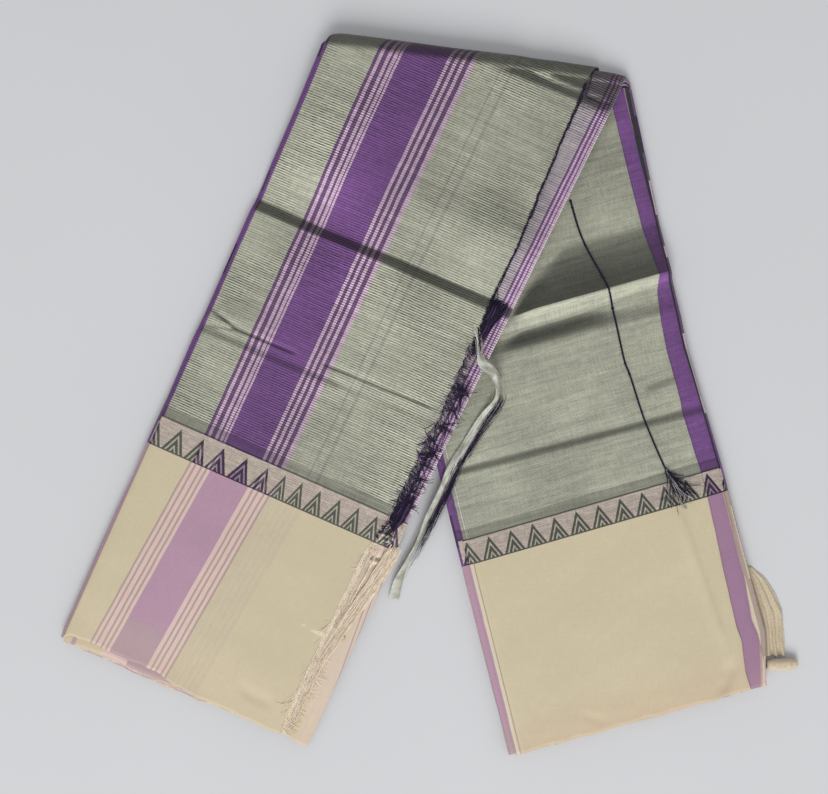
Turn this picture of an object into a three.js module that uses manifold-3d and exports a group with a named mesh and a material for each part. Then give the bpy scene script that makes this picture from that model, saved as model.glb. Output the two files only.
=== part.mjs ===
// A cotton saree, folded along its length into a flat strip, which is turned over once
// at its middle and laid down, so that its two legs spread like a wedge.
// Sizes are millimetres. X runs to the right of the laid saree, Y towards the turn, Z up.
import * as THREE from "three";
import { mergeVertices } from "three/addons/utils/BufferGeometryUtils.js";
import Module from "manifold-3d";

const wasm = await Module();
wasm.setup();
const { clamp, lerp, smoothstep, degToRad } = THREE.MathUtils;

// Driving sizes
const THICKNESS = 12;         // all the folded layers of one leg, pressed flat
const GAP = 0.3;              // between pieces that touch
const SHEET = 1.1;            // wall of each sheet that shows
const LIFT = THICKNESS + GAP; // how high the upper leg lies where it rests on the lower one
const CENTRE = { x: 12.64, y: -0.84 };  // middle of the laid outline, which is the origin

// The cloth sinks towards its folded edges
const EDGE_DROP = 1.5;
const EDGE_REACH = 18;

// Where the upper leg comes down from the lower leg to the table, beyond the lower leg's edge
const UNDERSIDE_RAMP = { start: 8, width: 45 };
const TOPSIDE_RAMP = { start: -10, width: 80 };

// Depth below a leg's top surface, to the top and the bottom of each layer
const TOP_LAYER = { top: 0, bottom: SHEET };
const SECOND_LAYER = { top: SHEET + GAP, bottom: 2 * SHEET + GAP };
const STACK_LAYER = { top: 2 * (SHEET + GAP), bottom: null };

// Bundles of folds in each stack, from the table up: how far each one's nose lies inside the
// outline on the left, on the right and at the hem, when the cloth between them lies NOSE inside
const NOSE = 2.6;
const BUNDLES = [
  { left: 1.4, right: 0.6, hem: 1.6 },
  { left: 0.0, right: 1.5, hem: 0.3 },
  { left: 1.1, right: 0.0, hem: 1.9 },
  { left: 0.3, right: 1.2, hem: 0.0 },
  { left: 1.6, right: 0.5, hem: 1.2 },
];
const NOSE_SPAN = { foot: 0.22, head: 0.78 };  // the blunt part of a nose, as shares of a bundle

// Each leg: its two edges from the turn to the hem, and the sections that cross it.
// left, right: how far down each edge the section starts and ends
// rise: how far the cloth stands above its flat top there, or dips below it
// steps: how many strips the stretch to the next section is drawn with
// shown: width of the layers that show past the top layer's right edge
// under: the part of that width where the second layer has ended too
const UPPER = {
  left: [{ x: -73.6, y: 306.3 }, { x: -302.5, y: -206.5 }],
  right: [{ x: 181.1, y: 272.5 }, { x: -96.9, y: -293.1 }],
  sections: [
    { name: "turn", left: 12.8, right: 11.2, rise: 0, steps: 4, shown: 13, under: 0 },
    { name: "slope", left: 102, right: 168, rise: 0.8, steps: 2, shown: 15, under: 0 },
    { name: "trough", left: 150, right: 221, rise: -3.4, steps: 2, shown: 19, under: 0 },
    { name: "rebound", left: 160, right: 231, rise: 0.9, steps: 3, shown: 19, under: 0 },
    { name: "above crease", left: 258, right: 325, rise: 0, steps: 1, shown: 16, under: 0 },
    { name: "crease", left: 267, right: 334, rise: -0.9, steps: 1, shown: 16, under: 0 },
    { name: "below crease", left: 274, right: 341, rise: 0, steps: 3, shown: 16, under: 0 },
    { name: "temples", left: 350, right: 423, rise: 0, steps: 1, shown: 15, under: 0 },
    { name: "border", left: 377, right: 449, rise: 0.3, steps: 3, shown: 17, under: 0 },
    { name: "soft crease", left: 500, right: 575, rise: 0.6, steps: 2, shown: 12, under: 0 },
    { name: "hem", left: 560.5, right: 629, rise: -0.6, steps: 0, shown: 5, under: 0 },
  ],
};
const LOWER = {
  left: [{ x: -67.3, y: 303.9 }, { x: 31.5, y: -109.0 }, { x: 80.9, y: -306.5 }],
  right: [
    { x: 182.2, y: 274.1 },
    { x: 232.4, y: 44.3 },
    { x: 262.2, y: -57.9 },
    { x: 281.5, y: -134.5 },
    { x: 299.0, y: -200.0 },
    { x: 300.5, y: -245.5 },
  ],
  sections: [
    { name: "turn", left: 11.5, right: 13.3, rise: 0, steps: 3, shown: 21, under: 8 },
    { name: "slope", left: 226, right: 126, rise: -1.5, steps: 2, shown: 17, under: 4 },
    { name: "ridge", left: 268, right: 172, rise: 5, steps: 2, shown: 12, under: 4 },
    { name: "foot", left: 281, right: 192, rise: -1.4, steps: 1, shown: 16, under: 4 },
    { name: "rebound", left: 294, right: 206, rise: 0.2, steps: 2, shown: 18, under: 4 },
    { name: "above crease", left: 371, right: 279, rise: 0, steps: 1, shown: 20, under: 4 },
    { name: "crease", left: 378.5, right: 287, rise: -1.3, steps: 1, shown: 21, under: 4 },
    { name: "below crease", left: 386, right: 295, rise: 0.2, steps: 2, shown: 21, under: 4 },
    { name: "temples", left: 438, right: 342.5, rise: 0, steps: 1, shown: 20, under: 4 },
    { name: "border", left: 461, right: 363.5, rise: 0.3, steps: 5, shown: 20, under: 4 },
    { name: "hem", left: 628, right: 534, rise: -0.5, steps: 0, shown: 20, under: 4 },
  ],
};
const UPPER_TOP_INSET = 3.5;     // the upper leg's top layer, inside its folded left edge
const LOWER_TOP_INSET = 11;      // the lower leg's top layer, inside its left outline
const LOWER_SECOND_INSET = 6;    // the lower leg's second layer, inside its left outline
const CREASE_FADE = { start: 12, end: 36 };  // the lower leg's creases, beside the upper leg

// Lines down every layer, as shares of the leg's width, which all its layers share, and how
// far a line keeps from the edge of a layer that ends before it
const LINES = [0.02, 0.055, 0.13, 0.22, 0.32, 0.42, 0.52, 0.62, 0.72, 0.81, 0.89, 0.945];
const LINE_MARGIN = 1;

// The turn: where its front runs, how far it bulges past that, and how it shrinks at its ends
const TURN = {
  from: { x: -77.0, y: 294.6 },
  to: { x: 180.5, y: 262.1 },
  bulge: 12,
  facets: 10,
  swell: [
    { at: 0, size: 0.55 },
    { at: 0.012, size: 0.8 },
    { at: 0.04, size: 0.95 },
    { at: 0.15, size: 1 },
    { at: 0.4, size: 0.97 },
    { at: 0.6, size: 1 },
    { at: 0.85, size: 0.98 },
    { at: 0.96, size: 0.94 },
    { at: 0.988, size: 0.8 },
    { at: 1, size: 0.55 },
  ],
};

// The frayed edge: a narrow strip along it, with warp threads that fan out over the layer below
const FRAY = {
  strip: 1.6,
  root: 0.8,
  depth: 0.55,
  thread: { root: 0.45, tip: 0.25 },
  spacing: 5.6,
  fan: { middle: 34, swing: 30, period: 64, bend: 16 },
  joints: 2,
};
const FRAY_LENGTHS = [
  { right: 0, length: 4 },
  { right: 222, length: 5 },
  { right: 240, length: 14 },
  { right: 330, length: 17 },
  { right: 420, length: 15 },
  { right: 452, length: 9 },
  { right: 640, length: 6 },
];

// The twisted strip of weft that has come away from the frayed edge, and lies beside it
const HEADER = {
  width: 7,
  wall: 1.6,
  route: [
    { x: 56.0, y: 26.5, z: 25.6, roll: 0 },
    { x: 65.0, y: 17.5, z: 22.5, roll: 35 },
    { x: 70.0, y: 7.5, z: 16.6, roll: 80 },
    { x: 68.5, y: -4.5, z: 15.4, roll: 60 },
    { x: 56.0, y: -21.0, z: 14.0, roll: 10 },
    { x: 40.5, y: -45.0, z: 14.0, roll: -12 },
    { x: 31.0, y: -62.0, z: 13.9, roll: 0 },
    { x: 23.5, y: -80.0, z: 11.0, roll: 20 },
    { x: 12.5, y: -103.0, z: 6.2, roll: 45 },
    { x: 2.5, y: -125.0, z: 4.4, roll: 70 },
    { x: -6.5, y: -142.0, z: 4.2, roll: 60 },
    { x: -13.5, y: -157.0, z: 3.2, roll: 25 },
    { x: -17.5, y: -172.0, z: 1.6, roll: 0 },
  ],
  steps: 30,
  sides: 8,
};

// The tuft where the parting thread of the lower leg comes out, and how its threads fan out
const TUFT = { x: 229, y: -85, height: THICKNESS + 1.7, knot: 1.8, flatten: 0.6, from: -105, to: 25, sink: 0.5 };
const TUFT_LENGTHS = [9, 12, 8, 13, 11, 14, 10, 12, 8];

// The corner that has slid out from under the lower leg, in shallow pleats, with a rolled end.
// run: how far down the leg's right edge a row lies, reach: how far it spreads from there,
// height: how high its pleats stand
const CORNER = {
  gap: 0.1,
  pleats: 3,
  columns: 12,
  rows: [
    { run: 432, reach: 4, height: 0.4 },
    { run: 444, reach: 14, height: 1.5 },
    { run: 457, reach: 18.2, height: 2.6 },
    { run: 472, reach: 20, height: 3.2 },
    { run: 488.5, reach: 17.2, height: 3.8 },
    { run: 509.7, reach: 18, height: 4.6 },
  ],
};
const CORNER_ROLL = {
  from: { x: 300.9, y: -228.0 },
  to: { x: 327, y: -227.0 },
  width: 12,
  height: 9,
  sides: 12,
  swell: [
    { at: 0, size: 0.6 },
    { at: 0.06, size: 0.85 },
    { at: 0.3, size: 1 },
    { at: 0.75, size: 0.96 },
    { at: 0.94, size: 0.8 },
    { at: 1, size: 0.5 },
  ],
};

const COLOURS = {
  green: "#a0a391",
  purple: "#69417d",
  mauve: "#a986a3",
  cream: "#cdc3a5",
  temple: "#6f6a62",
  threads: "#2c2838",
  header: "#b9bba4",
};

// The point a given distance along an edge, which runs straight on past its last point
function pointAlong(edge, run) {
  let rest = run;
  let i = 0;
  let length = 0;
  for (; i < edge.length - 1; i += 1) {
    length = Math.hypot(edge[i + 1].x - edge[i].x, edge[i + 1].y - edge[i].y);
    if (rest <= length || i === edge.length - 2) {
      break;
    }
    rest -= length;
  }
  const share = rest / length;
  return new THREE.Vector2(
    lerp(edge[i].x, edge[i + 1].x, share),
    lerp(edge[i].y, edge[i + 1].y, share),
  );
}

// How far a point lies to the right of the line down an edge
function rightOf(point, edge) {
  const from = edge[0];
  const to = edge[edge.length - 1];
  const cross = (to.x - from.x) * (point.y - from.y) - (to.y - from.y) * (point.x - from.x);
  return cross / Math.hypot(to.x - from.x, to.y - from.y);
}

// One leg of the strip, which gives the places and heights of every layer in it
class Leg {
  constructor(plan, underside, topside, creases) {
    this.left = plan.left;
    this.right = plan.right;
    this.sections = plan.sections;
    this.underside = underside;
    this.topside = topside;
    this.creases = creases;
  }

  // The section a share of the way from one row of the table to the next, moved down the leg
  section(row, share, move = 0) {
    const a = this.sections[row];
    const b = this.sections[Math.min(row + 1, this.sections.length - 1)];
    const from = pointAlong(this.left, lerp(a.left, b.left, share) + move);
    const to = pointAlong(this.right, lerp(a.right, b.right, share) + move);
    const across = to.clone().sub(from).normalize();
    return {
      from,
      across,
      down: new THREE.Vector2(across.y, -across.x),
      width: from.distanceTo(to),
      rise: lerp(a.rise, b.rise, smoothstep(share, 0, 1)),
      shown: lerp(a.shown, b.shown, share),
      under: lerp(a.under, b.under, share),
    };
  }

  // The section that ends a given distance down the right edge
  sectionAtRight(run) {
    let row = 0;
    while (row < this.sections.length - 2 && this.sections[row + 1].right < run) {
      row += 1;
    }
    const a = this.sections[row];
    const b = this.sections[row + 1];
    return this.section(row, (run - a.right) / (b.right - a.right));
  }

  rowIndex(name) {
    return this.sections.findIndex((row) => row.name === name);
  }

  // The sections between two named rows, held back by half a gap where another piece follows
  stretch(fromName, toName) {
    const first = this.rowIndex(fromName);
    const last = this.rowIndex(toName);
    const isHem = last === this.sections.length - 1;
    const list = [this.section(first, 0, first === 0 ? 0 : GAP / 2)];
    for (let row = first; row < last; row += 1) {
      const { steps } = this.sections[row];
      const count = row === last - 1 ? steps - 1 : steps;
      for (let step = 1; step <= count; step += 1) {
        list.push(this.section(row, step / steps));
      }
    }
    list.push(this.section(last, 0, isHem ? 0 : -GAP / 2));
    return list;
  }

  // Where a point lies that is a given distance in from the left edge
  place(section, inset) {
    return section.from.clone().addScaledVector(section.across, inset);
  }

  // Height of the leg's top surface there
  top(section, inset) {
    const point = this.place(section, inset);
    const toEdge = clamp(Math.min(inset, section.width - inset), NOSE, EDGE_REACH);
    const drop = EDGE_DROP * (1 - toEdge / EDGE_REACH) ** 2;
    return this.topside(point) + THICKNESS + section.rise * this.creases(point) - drop;
  }
}

// Height of what carries the upper leg, which falls along a ramp beside the lower leg
function carried(point, ramp) {
  const beyond = -rightOf(point, LOWER.left);
  return LIFT * (1 - smoothstep(beyond, ramp.start, ramp.start + ramp.width));
}

const upperLeg = new Leg(
  UPPER,
  (point) => carried(point, UNDERSIDE_RAMP),
  (point) => carried(point, TOPSIDE_RAMP),
  () => 1,
);
const lowerLeg = new Leg(
  LOWER,
  () => 0,
  () => 0,
  (point) => smoothstep(rightOf(point, UPPER.right), CREASE_FADE.start, CREASE_FADE.end),
);

// Triangles collected by their corners, then joined into one closed shape
class Skin {
  constructor() {
    this.corners = [];
  }

  quad(a, b, c, d) {
    this.corners.push(a, b, c, a, c, d);
  }

  // Two rows of points joined by a band
  band(first, second) {
    for (let i = 0; i < first.length - 1; i += 1) {
      this.quad(first[i], first[i + 1], second[i + 1], second[i]);
    }
  }

  // A flat end, drawn in a plane where it faces the reader
  cap(outline, project) {
    for (const [a, b, c] of THREE.ShapeUtils.triangulateShape(outline.map(project), [])) {
      this.corners.push(outline[a], outline[b], outline[c]);
    }
  }

  geometry() {
    const joined = mergeVertices(new THREE.BufferGeometry().setFromPoints(this.corners), 1e-4);
    joined.computeVertexNormals();
    return joined;
  }
}

// A loft through closed rings of points, with a fan at each end
function loft(rings) {
  const skin = new Skin();
  for (let i = 0; i < rings.length - 1; i += 1) {
    skin.band([...rings[i], rings[i][0]], [...rings[i + 1], rings[i + 1][0]]);
  }
  const fan = (ring, flip) => {
    for (let k = 1; k < ring.length - 1; k += 1) {
      skin.corners.push(ring[0], ring[flip ? k : k + 1], ring[flip ? k + 1 : k]);
    }
  };
  fan(rings[0], false);
  fan(rings[rings.length - 1], true);
  return skin.geometry();
}

// A layer of a leg between two named rows: a top and a bottom over the same lines, and walls.
// insets(section) says how far it stays inside the left and the right outline, depth how far
// below the leg's top surface it lies. With bundles its walls are stepped in rounded noses.
function layer(leg, names, { insets, depth, lines = LINES, bundles = [], hem = false }) {
  const skin = new Skin();
  const sections = leg.stretch(...names);
  const last = sections.length - 1;
  const rows = sections.map((section, i) => {
    const { left, right } = insets(section);
    const back = hem && i === last ? NOSE : 0;
    const [first, final] = [left + LINE_MARGIN, section.width - right - LINE_MARGIN];
    const inner = lines.map((share) => clamp(share * section.width, first, final));
    return [left, ...inner, section.width - right].map((inset) => {
      const place = leg.place(section, inset).addScaledVector(section.down, -back);
      const surface = leg.top(section, inset);
      const bottom = depth.bottom === null ? leg.underside(place) : surface - depth.bottom;
      return { section, place, top: surface - depth.top, bottom };
    });
  });
  const ends = rows[0].length - 1;
  const point = (node, z, out = { x: 0, y: 0 }) => {
    return new THREE.Vector3(node.place.x + out.x, node.place.y + out.y, z);
  };
  const topPoint = (node) => point(node, node.top);
  const bottomPoint = (node) => point(node, node.bottom);

  // A column of points up a wall, out over the nose of each bundle and back between them
  const column = (node, sides) => {
    const height = (node.top - node.bottom) / bundles.length;
    const noses = bundles.flatMap((bundle, k) => {
      const out = new THREE.Vector2();
      for (const side of sides) {
        out.addScaledVector(OUTWARD[side](node.section), NOSE - bundle[side]);
      }
      const foot = node.bottom + k * height;
      const back = k > 0 ? [point(node, foot)] : [];
      return [
        ...back,
        point(node, foot + NOSE_SPAN.foot * height, out),
        point(node, foot + NOSE_SPAN.head * height, out),
      ];
    });
    return [bottomPoint(node), ...noses, topPoint(node)];
  };
  const isHemRow = (i) => hem && i === last;
  const left = rows.map((row, i) => column(row[0], isHemRow(i) ? ["left", "hem"] : ["left"]));
  const right = rows.map((row, i) => {
    return column(row[ends], isHemRow(i) ? ["right", "hem"] : ["right"]);
  });

  for (let i = 0; i < last; i += 1) {
    const [upper, lower] = [rows[i], rows[i + 1]];
    for (let j = 0; j < ends; j += 1) {
      const [a, b, c, d] = [lower[j], lower[j + 1], upper[j + 1], upper[j]];
      skin.quad(topPoint(a), topPoint(b), topPoint(c), topPoint(d));
      skin.quad(bottomPoint(c), bottomPoint(b), bottomPoint(a), bottomPoint(d));
    }
    skin.band(left[i + 1], left[i]);
    skin.band(right[i], right[i + 1]);
  }

  // A cut end, which faces the turn or the hem
  const cut = (i, facing) => {
    const inner = rows[i].slice(1, -1);
    const outline = [
      ...left[i],
      ...inner.map(topPoint),
      ...right[i].slice().reverse(),
      ...inner.map(bottomPoint).reverse(),
    ];
    const { across } = rows[i][0].section;
    skin.cap(outline, (p) => new THREE.Vector2(facing * (p.x * across.x + p.y * across.y), p.z));
  };
  cut(0, -1);
  if (hem) {
    const middle = rows[last].slice(1, -1).map((node) => column(node, ["hem"]));
    const columns = [left[last], ...middle, right[last]];
    for (let j = 0; j < ends; j += 1) {
      skin.band(columns[j + 1], columns[j]);
    }
  } else {
    cut(last, 1);
  }
  return skin.geometry();
}

// Unit vectors out of each side of a leg
const OUTWARD = {
  left: (section) => section.across.clone().negate(),
  right: (section) => section.across,
  hem: (section) => section.down,
};

// The turn, a flattened half round that closes the strip's fold, with a flat front
function turnGeometry() {
  const from = new THREE.Vector2(TURN.from.x, TURN.from.y);
  const to = new THREE.Vector2(TURN.to.x, TURN.to.y);
  const along = to.clone().sub(from).normalize();
  const out = new THREE.Vector2(-along.y, along.x);
  const height = LIFT + THICKNESS;
  const rings = TURN.swell.map(({ at, size }) => {
    const front = from.clone().lerp(to, at);
    const ring = [];
    for (let k = 0; k <= TURN.facets; k += 1) {
      const angle = degToRad(-90 + (180 * k) / TURN.facets);
      const reach = TURN.bulge * size * Math.cos(angle);
      const z = (height / 2) * (size + size * Math.sin(angle));
      ring.push(new THREE.Vector3(front.x + out.x * reach, front.y + out.y * reach, z));
    }
    return ring;
  });
  return loft(rings);
}

// A closed geometry as a solid that can be joined to another, and back again
function toSolid(geometry) {
  const bare = geometry.clone();
  bare.deleteAttribute("normal");
  bare.deleteAttribute("uv");
  const joined = mergeVertices(bare, 1e-4);
  return new wasm.Manifold(
    new wasm.Mesh({
      numProp: 3,
      vertProperties: joined.attributes.position.array,
      triVerts: Uint32Array.from(joined.index.array),
    }),
  );
}

function fromSolid(solid) {
  const { vertProperties, triVerts } = solid.getMesh();
  const geometry = new THREE.BufferGeometry();
  geometry.setAttribute("position", new THREE.BufferAttribute(vertProperties, 3));
  geometry.setIndex(new THREE.BufferAttribute(triVerts, 1));
  geometry.computeVertexNormals();
  return geometry;
}

// A tapered three-sided thread through a list of points
function thread(points, rootRadius, tipRadius) {
  const rings = points.map((centre, i) => {
    const before = points[Math.max(i - 1, 0)];
    const after = points[Math.min(i + 1, points.length - 1)];
    const side = new THREE.Vector3(after.y - before.y, before.x - after.x, 0).normalize();
    const radius = lerp(rootRadius, tipRadius, i / (points.length - 1));
    return [
      centre.clone().addScaledVector(side, -radius).setZ(centre.z - radius / 2),
      centre.clone().setZ(centre.z + radius),
      centre.clone().addScaledVector(side, radius).setZ(centre.z - radius / 2),
    ];
  });
  return loft(rings);
}

// Length of the loose threads at a distance down the right edge
function frayLength(run) {
  const next = FRAY_LENGTHS.findIndex((row) => row.right > run);
  const [a, b] = [FRAY_LENGTHS[next - 1], FRAY_LENGTHS[next]];
  return lerp(a.length, b.length, (run - a.right) / (b.right - a.right));
}

// The frayed edge of the upper leg's top layer, over a stretch between two named rows:
// a narrow strip beside the layer, and threads that leave it at a slowly swinging angle
function frayedEdge(fromName, toName) {
  const strip = layer(upperLeg, [fromName, toName], {
    insets: (section) => ({
      left: section.width - section.shown + GAP,
      right: section.shown - GAP - FRAY.strip,
    }),
    depth: TOP_LAYER,
    lines: [],
  });
  const { sections } = upperLeg;
  const first = sections[upperLeg.rowIndex(fromName)].right + FRAY.spacing;
  const last = sections[upperLeg.rowIndex(toName)].right - FRAY.spacing;
  let solid = toSolid(strip);
  for (let run = first; run < last; run += FRAY.spacing) {
    const { shown, width } = upperLeg.sectionAtRight(run);
    const { middle, swing, period, bend } = FRAY.fan;
    const step = frayLength(run) / FRAY.joints;
    let down = run;
    let inset = width - shown + GAP + FRAY.root;
    const points = [];
    for (let k = 0; k <= FRAY.joints; k += 1) {
      const section = upperLeg.sectionAtRight(down);
      const { x, y } = upperLeg.place(section, inset + section.width - width);
      const height = upperLeg.top(section, inset + section.width - width) - FRAY.depth;
      points.push(new THREE.Vector3(x, y, height));
      const angle = degToRad(middle + swing * Math.sin((2 * Math.PI * run) / period) + bend * k);
      down += step * Math.sin(angle);
      inset += step * Math.cos(angle);
    }
    solid = solid.add(toSolid(thread(points, FRAY.thread.root, FRAY.thread.tip)));
  }
  return fromSolid(solid);
}

// The loose strip of weft: a flat band that rolls over as it goes
function headerGeometry() {
  const path = new THREE.CatmullRomCurve3(HEADER.route.map(({ x, y, z }) => new THREE.Vector3(x, y, z)));
  const up = new THREE.Vector3(0, 0, 1);
  const rings = [];
  for (let i = 0; i <= HEADER.steps; i += 1) {
    const share = i / HEADER.steps;
    const centre = path.getPoint(share);
    const ahead = path.getTangent(share);
    const side = ahead.clone().cross(up).normalize();
    const row = Math.min(Math.floor(share * (HEADER.route.length - 1)), HEADER.route.length - 2);
    const [a, b] = [HEADER.route[row], HEADER.route[row + 1]];
    const roll = degToRad(lerp(a.roll, b.roll, share * (HEADER.route.length - 1) - row));
    const flat = side.clone().applyAxisAngle(ahead, roll);
    const thick = flat.clone().cross(ahead);
    const ring = [];
    for (let k = 0; k < HEADER.sides; k += 1) {
      const angle = (2 * Math.PI * k) / HEADER.sides;
      const corner = centre.clone();
      corner.addScaledVector(flat, (-Math.cos(angle) * HEADER.width) / 2);
      corner.addScaledVector(thick, (Math.sin(angle) * HEADER.wall) / 2);
      ring.push(corner);
    }
    rings.push(ring);
  }
  return loft(rings);
}

// The tuft: a knot with threads that fan out from it
function tuftGeometry() {
  const knot = new THREE.IcosahedronGeometry(TUFT.knot, 1).scale(1, 1, TUFT.flatten);
  knot.translate(TUFT.x, TUFT.y, TUFT.height);
  let solid = toSolid(knot);
  TUFT_LENGTHS.forEach((length, i) => {
    const angle = degToRad(lerp(TUFT.from, TUFT.to, i / (TUFT_LENGTHS.length - 1)));
    const points = [0, 0.5, 1].map((share) => {
      const reach = length * share;
      const x = TUFT.x + reach * Math.cos(angle);
      const y = TUFT.y + reach * Math.sin(angle);
      return new THREE.Vector3(x, y, TUFT.height - TUFT.sink * share);
    });
    solid = solid.add(toSolid(thread(points, FRAY.thread.root, FRAY.thread.tip)));
  });
  return fromSolid(solid);
}

// The loose corner: a wall in shallow pleats, which touches the table between them
function cornerGeometry() {
  const skin = new Skin();
  const rows = CORNER.rows.map(({ run, reach, height }) => {
    const root = pointAlong(LOWER.right, run);
    const nodes = [];
    for (let j = 0; j <= CORNER.columns; j += 1) {
      const share = j / CORNER.columns;
      const wave = (1 - Math.cos(2 * Math.PI * CORNER.pleats * share)) / 2;
      const x = root.x + CORNER.gap + reach * share;
      nodes.push({
        top: new THREE.Vector3(x, root.y, height * wave + SHEET),
        bottom: new THREE.Vector3(x, root.y, height * wave),
      });
    }
    return nodes;
  });
  const wall = (node) => [node.bottom, node.top];
  for (let i = 0; i < rows.length - 1; i += 1) {
    const [upper, lower] = [rows[i], rows[i + 1]];
    for (let j = 0; j < CORNER.columns; j += 1) {
      skin.quad(lower[j].top, lower[j + 1].top, upper[j + 1].top, upper[j].top);
      skin.quad(upper[j + 1].bottom, lower[j + 1].bottom, lower[j].bottom, upper[j].bottom);
    }
    skin.band(wall(lower[0]), wall(upper[0]));
    skin.band(wall(upper[CORNER.columns]), wall(lower[CORNER.columns]));
  }
  const [head, foot] = [rows[0], rows[rows.length - 1]];
  for (let j = 0; j < CORNER.columns; j += 1) {
    skin.band(wall(head[j]), wall(head[j + 1]));
    skin.band(wall(foot[j + 1]), wall(foot[j]));
  }
  return skin.geometry();
}

// The rolled end of that corner, flat side down
function cornerRollGeometry() {
  const from = new THREE.Vector2(CORNER_ROLL.from.x, CORNER_ROLL.from.y);
  const to = new THREE.Vector2(CORNER_ROLL.to.x, CORNER_ROLL.to.y);
  const along = to.clone().sub(from).normalize();
  const out = new THREE.Vector2(-along.y, along.x);
  const rings = CORNER_ROLL.swell.map(({ at, size }) => {
    const centre = from.clone().lerp(to, at);
    const ring = [];
    for (let k = 0; k < CORNER_ROLL.sides; k += 1) {
      const angle = (2 * Math.PI * k) / CORNER_ROLL.sides;
      const reach = (Math.cos(angle) * CORNER_ROLL.width * size) / 2;
      const z = ((1 + Math.sin(angle)) * CORNER_ROLL.height * size) / 2;
      ring.push(new THREE.Vector3(centre.x + out.x * reach, centre.y + out.y * reach, z));
    }
    return ring;
  });
  return loft(rings);
}

const group = new THREE.Group();

function add(name, geometry, colour) {
  const material = new THREE.MeshStandardMaterial({ color: colour, roughness: 0.9, metalness: 0 });
  const mesh = new THREE.Mesh(geometry, material);
  mesh.name = name;
  group.add(mesh);
}

// Each leg from the table up: the hidden layers, the second layer and the top layer, each in
// its stretches of field, temple band and border
const stack = {
  insets: () => ({ left: NOSE, right: NOSE }),
  depth: STACK_LAYER,
  bundles: BUNDLES,
};
const lowerSecond = {
  insets: ({ under }) => ({ left: LOWER_SECOND_INSET, right: under }),
  depth: SECOND_LAYER,
};
const lowerTop = {
  insets: ({ shown }) => ({ left: LOWER_TOP_INSET, right: shown }),
  depth: TOP_LAYER,
};
const upperSecond = {
  insets: () => ({ left: 0, right: 0 }),
  depth: SECOND_LAYER,
};
const upperTop = {
  insets: ({ shown }) => ({ left: UPPER_TOP_INSET, right: shown }),
  depth: TOP_LAYER,
};
add("lower_leg_stack", layer(lowerLeg, ["turn", "border"], stack), COLOURS.green);
add("lower_leg_stack_border", layer(lowerLeg, ["border", "hem"], { ...stack, hem: true }), COLOURS.cream);
add("lower_leg_second_field", layer(lowerLeg, ["turn", "border"], lowerSecond), COLOURS.purple);
add("lower_leg_second_border", layer(lowerLeg, ["border", "hem"], lowerSecond), COLOURS.mauve);
add("lower_leg_field", layer(lowerLeg, ["turn", "temples"], lowerTop), COLOURS.green);
add("lower_leg_temple_band", layer(lowerLeg, ["temples", "border"], lowerTop), COLOURS.temple);
add("lower_leg_border", layer(lowerLeg, ["border", "hem"], lowerTop), COLOURS.cream);
add("upper_leg_stack", layer(upperLeg, ["turn", "border"], stack), COLOURS.purple);
add("upper_leg_stack_border", layer(upperLeg, ["border", "hem"], { ...stack, hem: true }), COLOURS.cream);
add("upper_leg_second_field", layer(upperLeg, ["turn", "border"], upperSecond), COLOURS.purple);
add("upper_leg_second_border", layer(upperLeg, ["border", "hem"], upperSecond), COLOURS.cream);
add("upper_leg_field", layer(upperLeg, ["turn", "temples"], upperTop), COLOURS.green);
add("upper_leg_temple_band", layer(upperLeg, ["temples", "border"], upperTop), COLOURS.temple);
add("upper_leg_border", layer(upperLeg, ["border", "hem"], upperTop), COLOURS.cream);
add("turn_over", turnGeometry(), COLOURS.green);
add("frayed_edge_field", frayedEdge("turn", "border"), COLOURS.threads);
add("frayed_edge_border", frayedEdge("border", "hem"), COLOURS.cream);
add("header_strip", headerGeometry(), COLOURS.header);
add("thread_tuft", tuftGeometry(), COLOURS.threads);
add("loose_corner", cornerGeometry(), COLOURS.cream);
add("loose_corner_roll", cornerRollGeometry(), COLOURS.cream);

group.position.set(-CENTRE.x, -CENTRE.y, 0);
group.updateMatrixWorld(true);

export default group;
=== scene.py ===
"""A folded cotton saree, laid down in a wedge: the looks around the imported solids.

The strip is folded along its length, turned over once at its middle and laid down, so that
its upper leg crosses its lower one. Sizes are millimetres, X to the right of the laid saree,
Y towards the turn and Z up, until a mesh is made from them in metres.
"""

import logging
import math
from collections.abc import Callable, Sequence
from dataclasses import dataclass, field
from enum import Enum
from typing import Any

import bmesh
import bpy
import numpy as np
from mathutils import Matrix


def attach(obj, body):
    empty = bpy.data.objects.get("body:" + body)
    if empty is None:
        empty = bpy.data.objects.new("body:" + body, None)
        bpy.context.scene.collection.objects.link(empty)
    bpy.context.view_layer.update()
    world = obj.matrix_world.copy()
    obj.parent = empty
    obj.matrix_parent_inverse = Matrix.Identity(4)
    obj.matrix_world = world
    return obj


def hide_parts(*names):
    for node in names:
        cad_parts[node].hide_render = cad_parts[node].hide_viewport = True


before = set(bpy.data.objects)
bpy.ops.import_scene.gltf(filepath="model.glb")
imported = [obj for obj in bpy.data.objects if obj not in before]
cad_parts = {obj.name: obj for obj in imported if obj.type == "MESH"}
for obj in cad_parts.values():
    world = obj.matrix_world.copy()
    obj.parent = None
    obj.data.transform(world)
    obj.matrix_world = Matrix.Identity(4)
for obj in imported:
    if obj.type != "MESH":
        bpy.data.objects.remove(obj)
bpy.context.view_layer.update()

LOG = logging.getLogger("saree")
MM = 0.001
SAME_PLACE = 2e-6
BODY = "root"

# Where the origin of the shared frame lies in the millimetres of this script.
CENTRE = np.array([12.64, -0.84])

# How high a leg stands, and how far it lifts the leg that crosses it.
THICKNESS = 12.0
LIFT = 12.3

# How far in from its edges a leg's top falls off, by how much, and where that ends at its folds.
EDGE_REACH = 18.0
EDGE_DROP = 1.5
NOSE = 2.6

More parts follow.
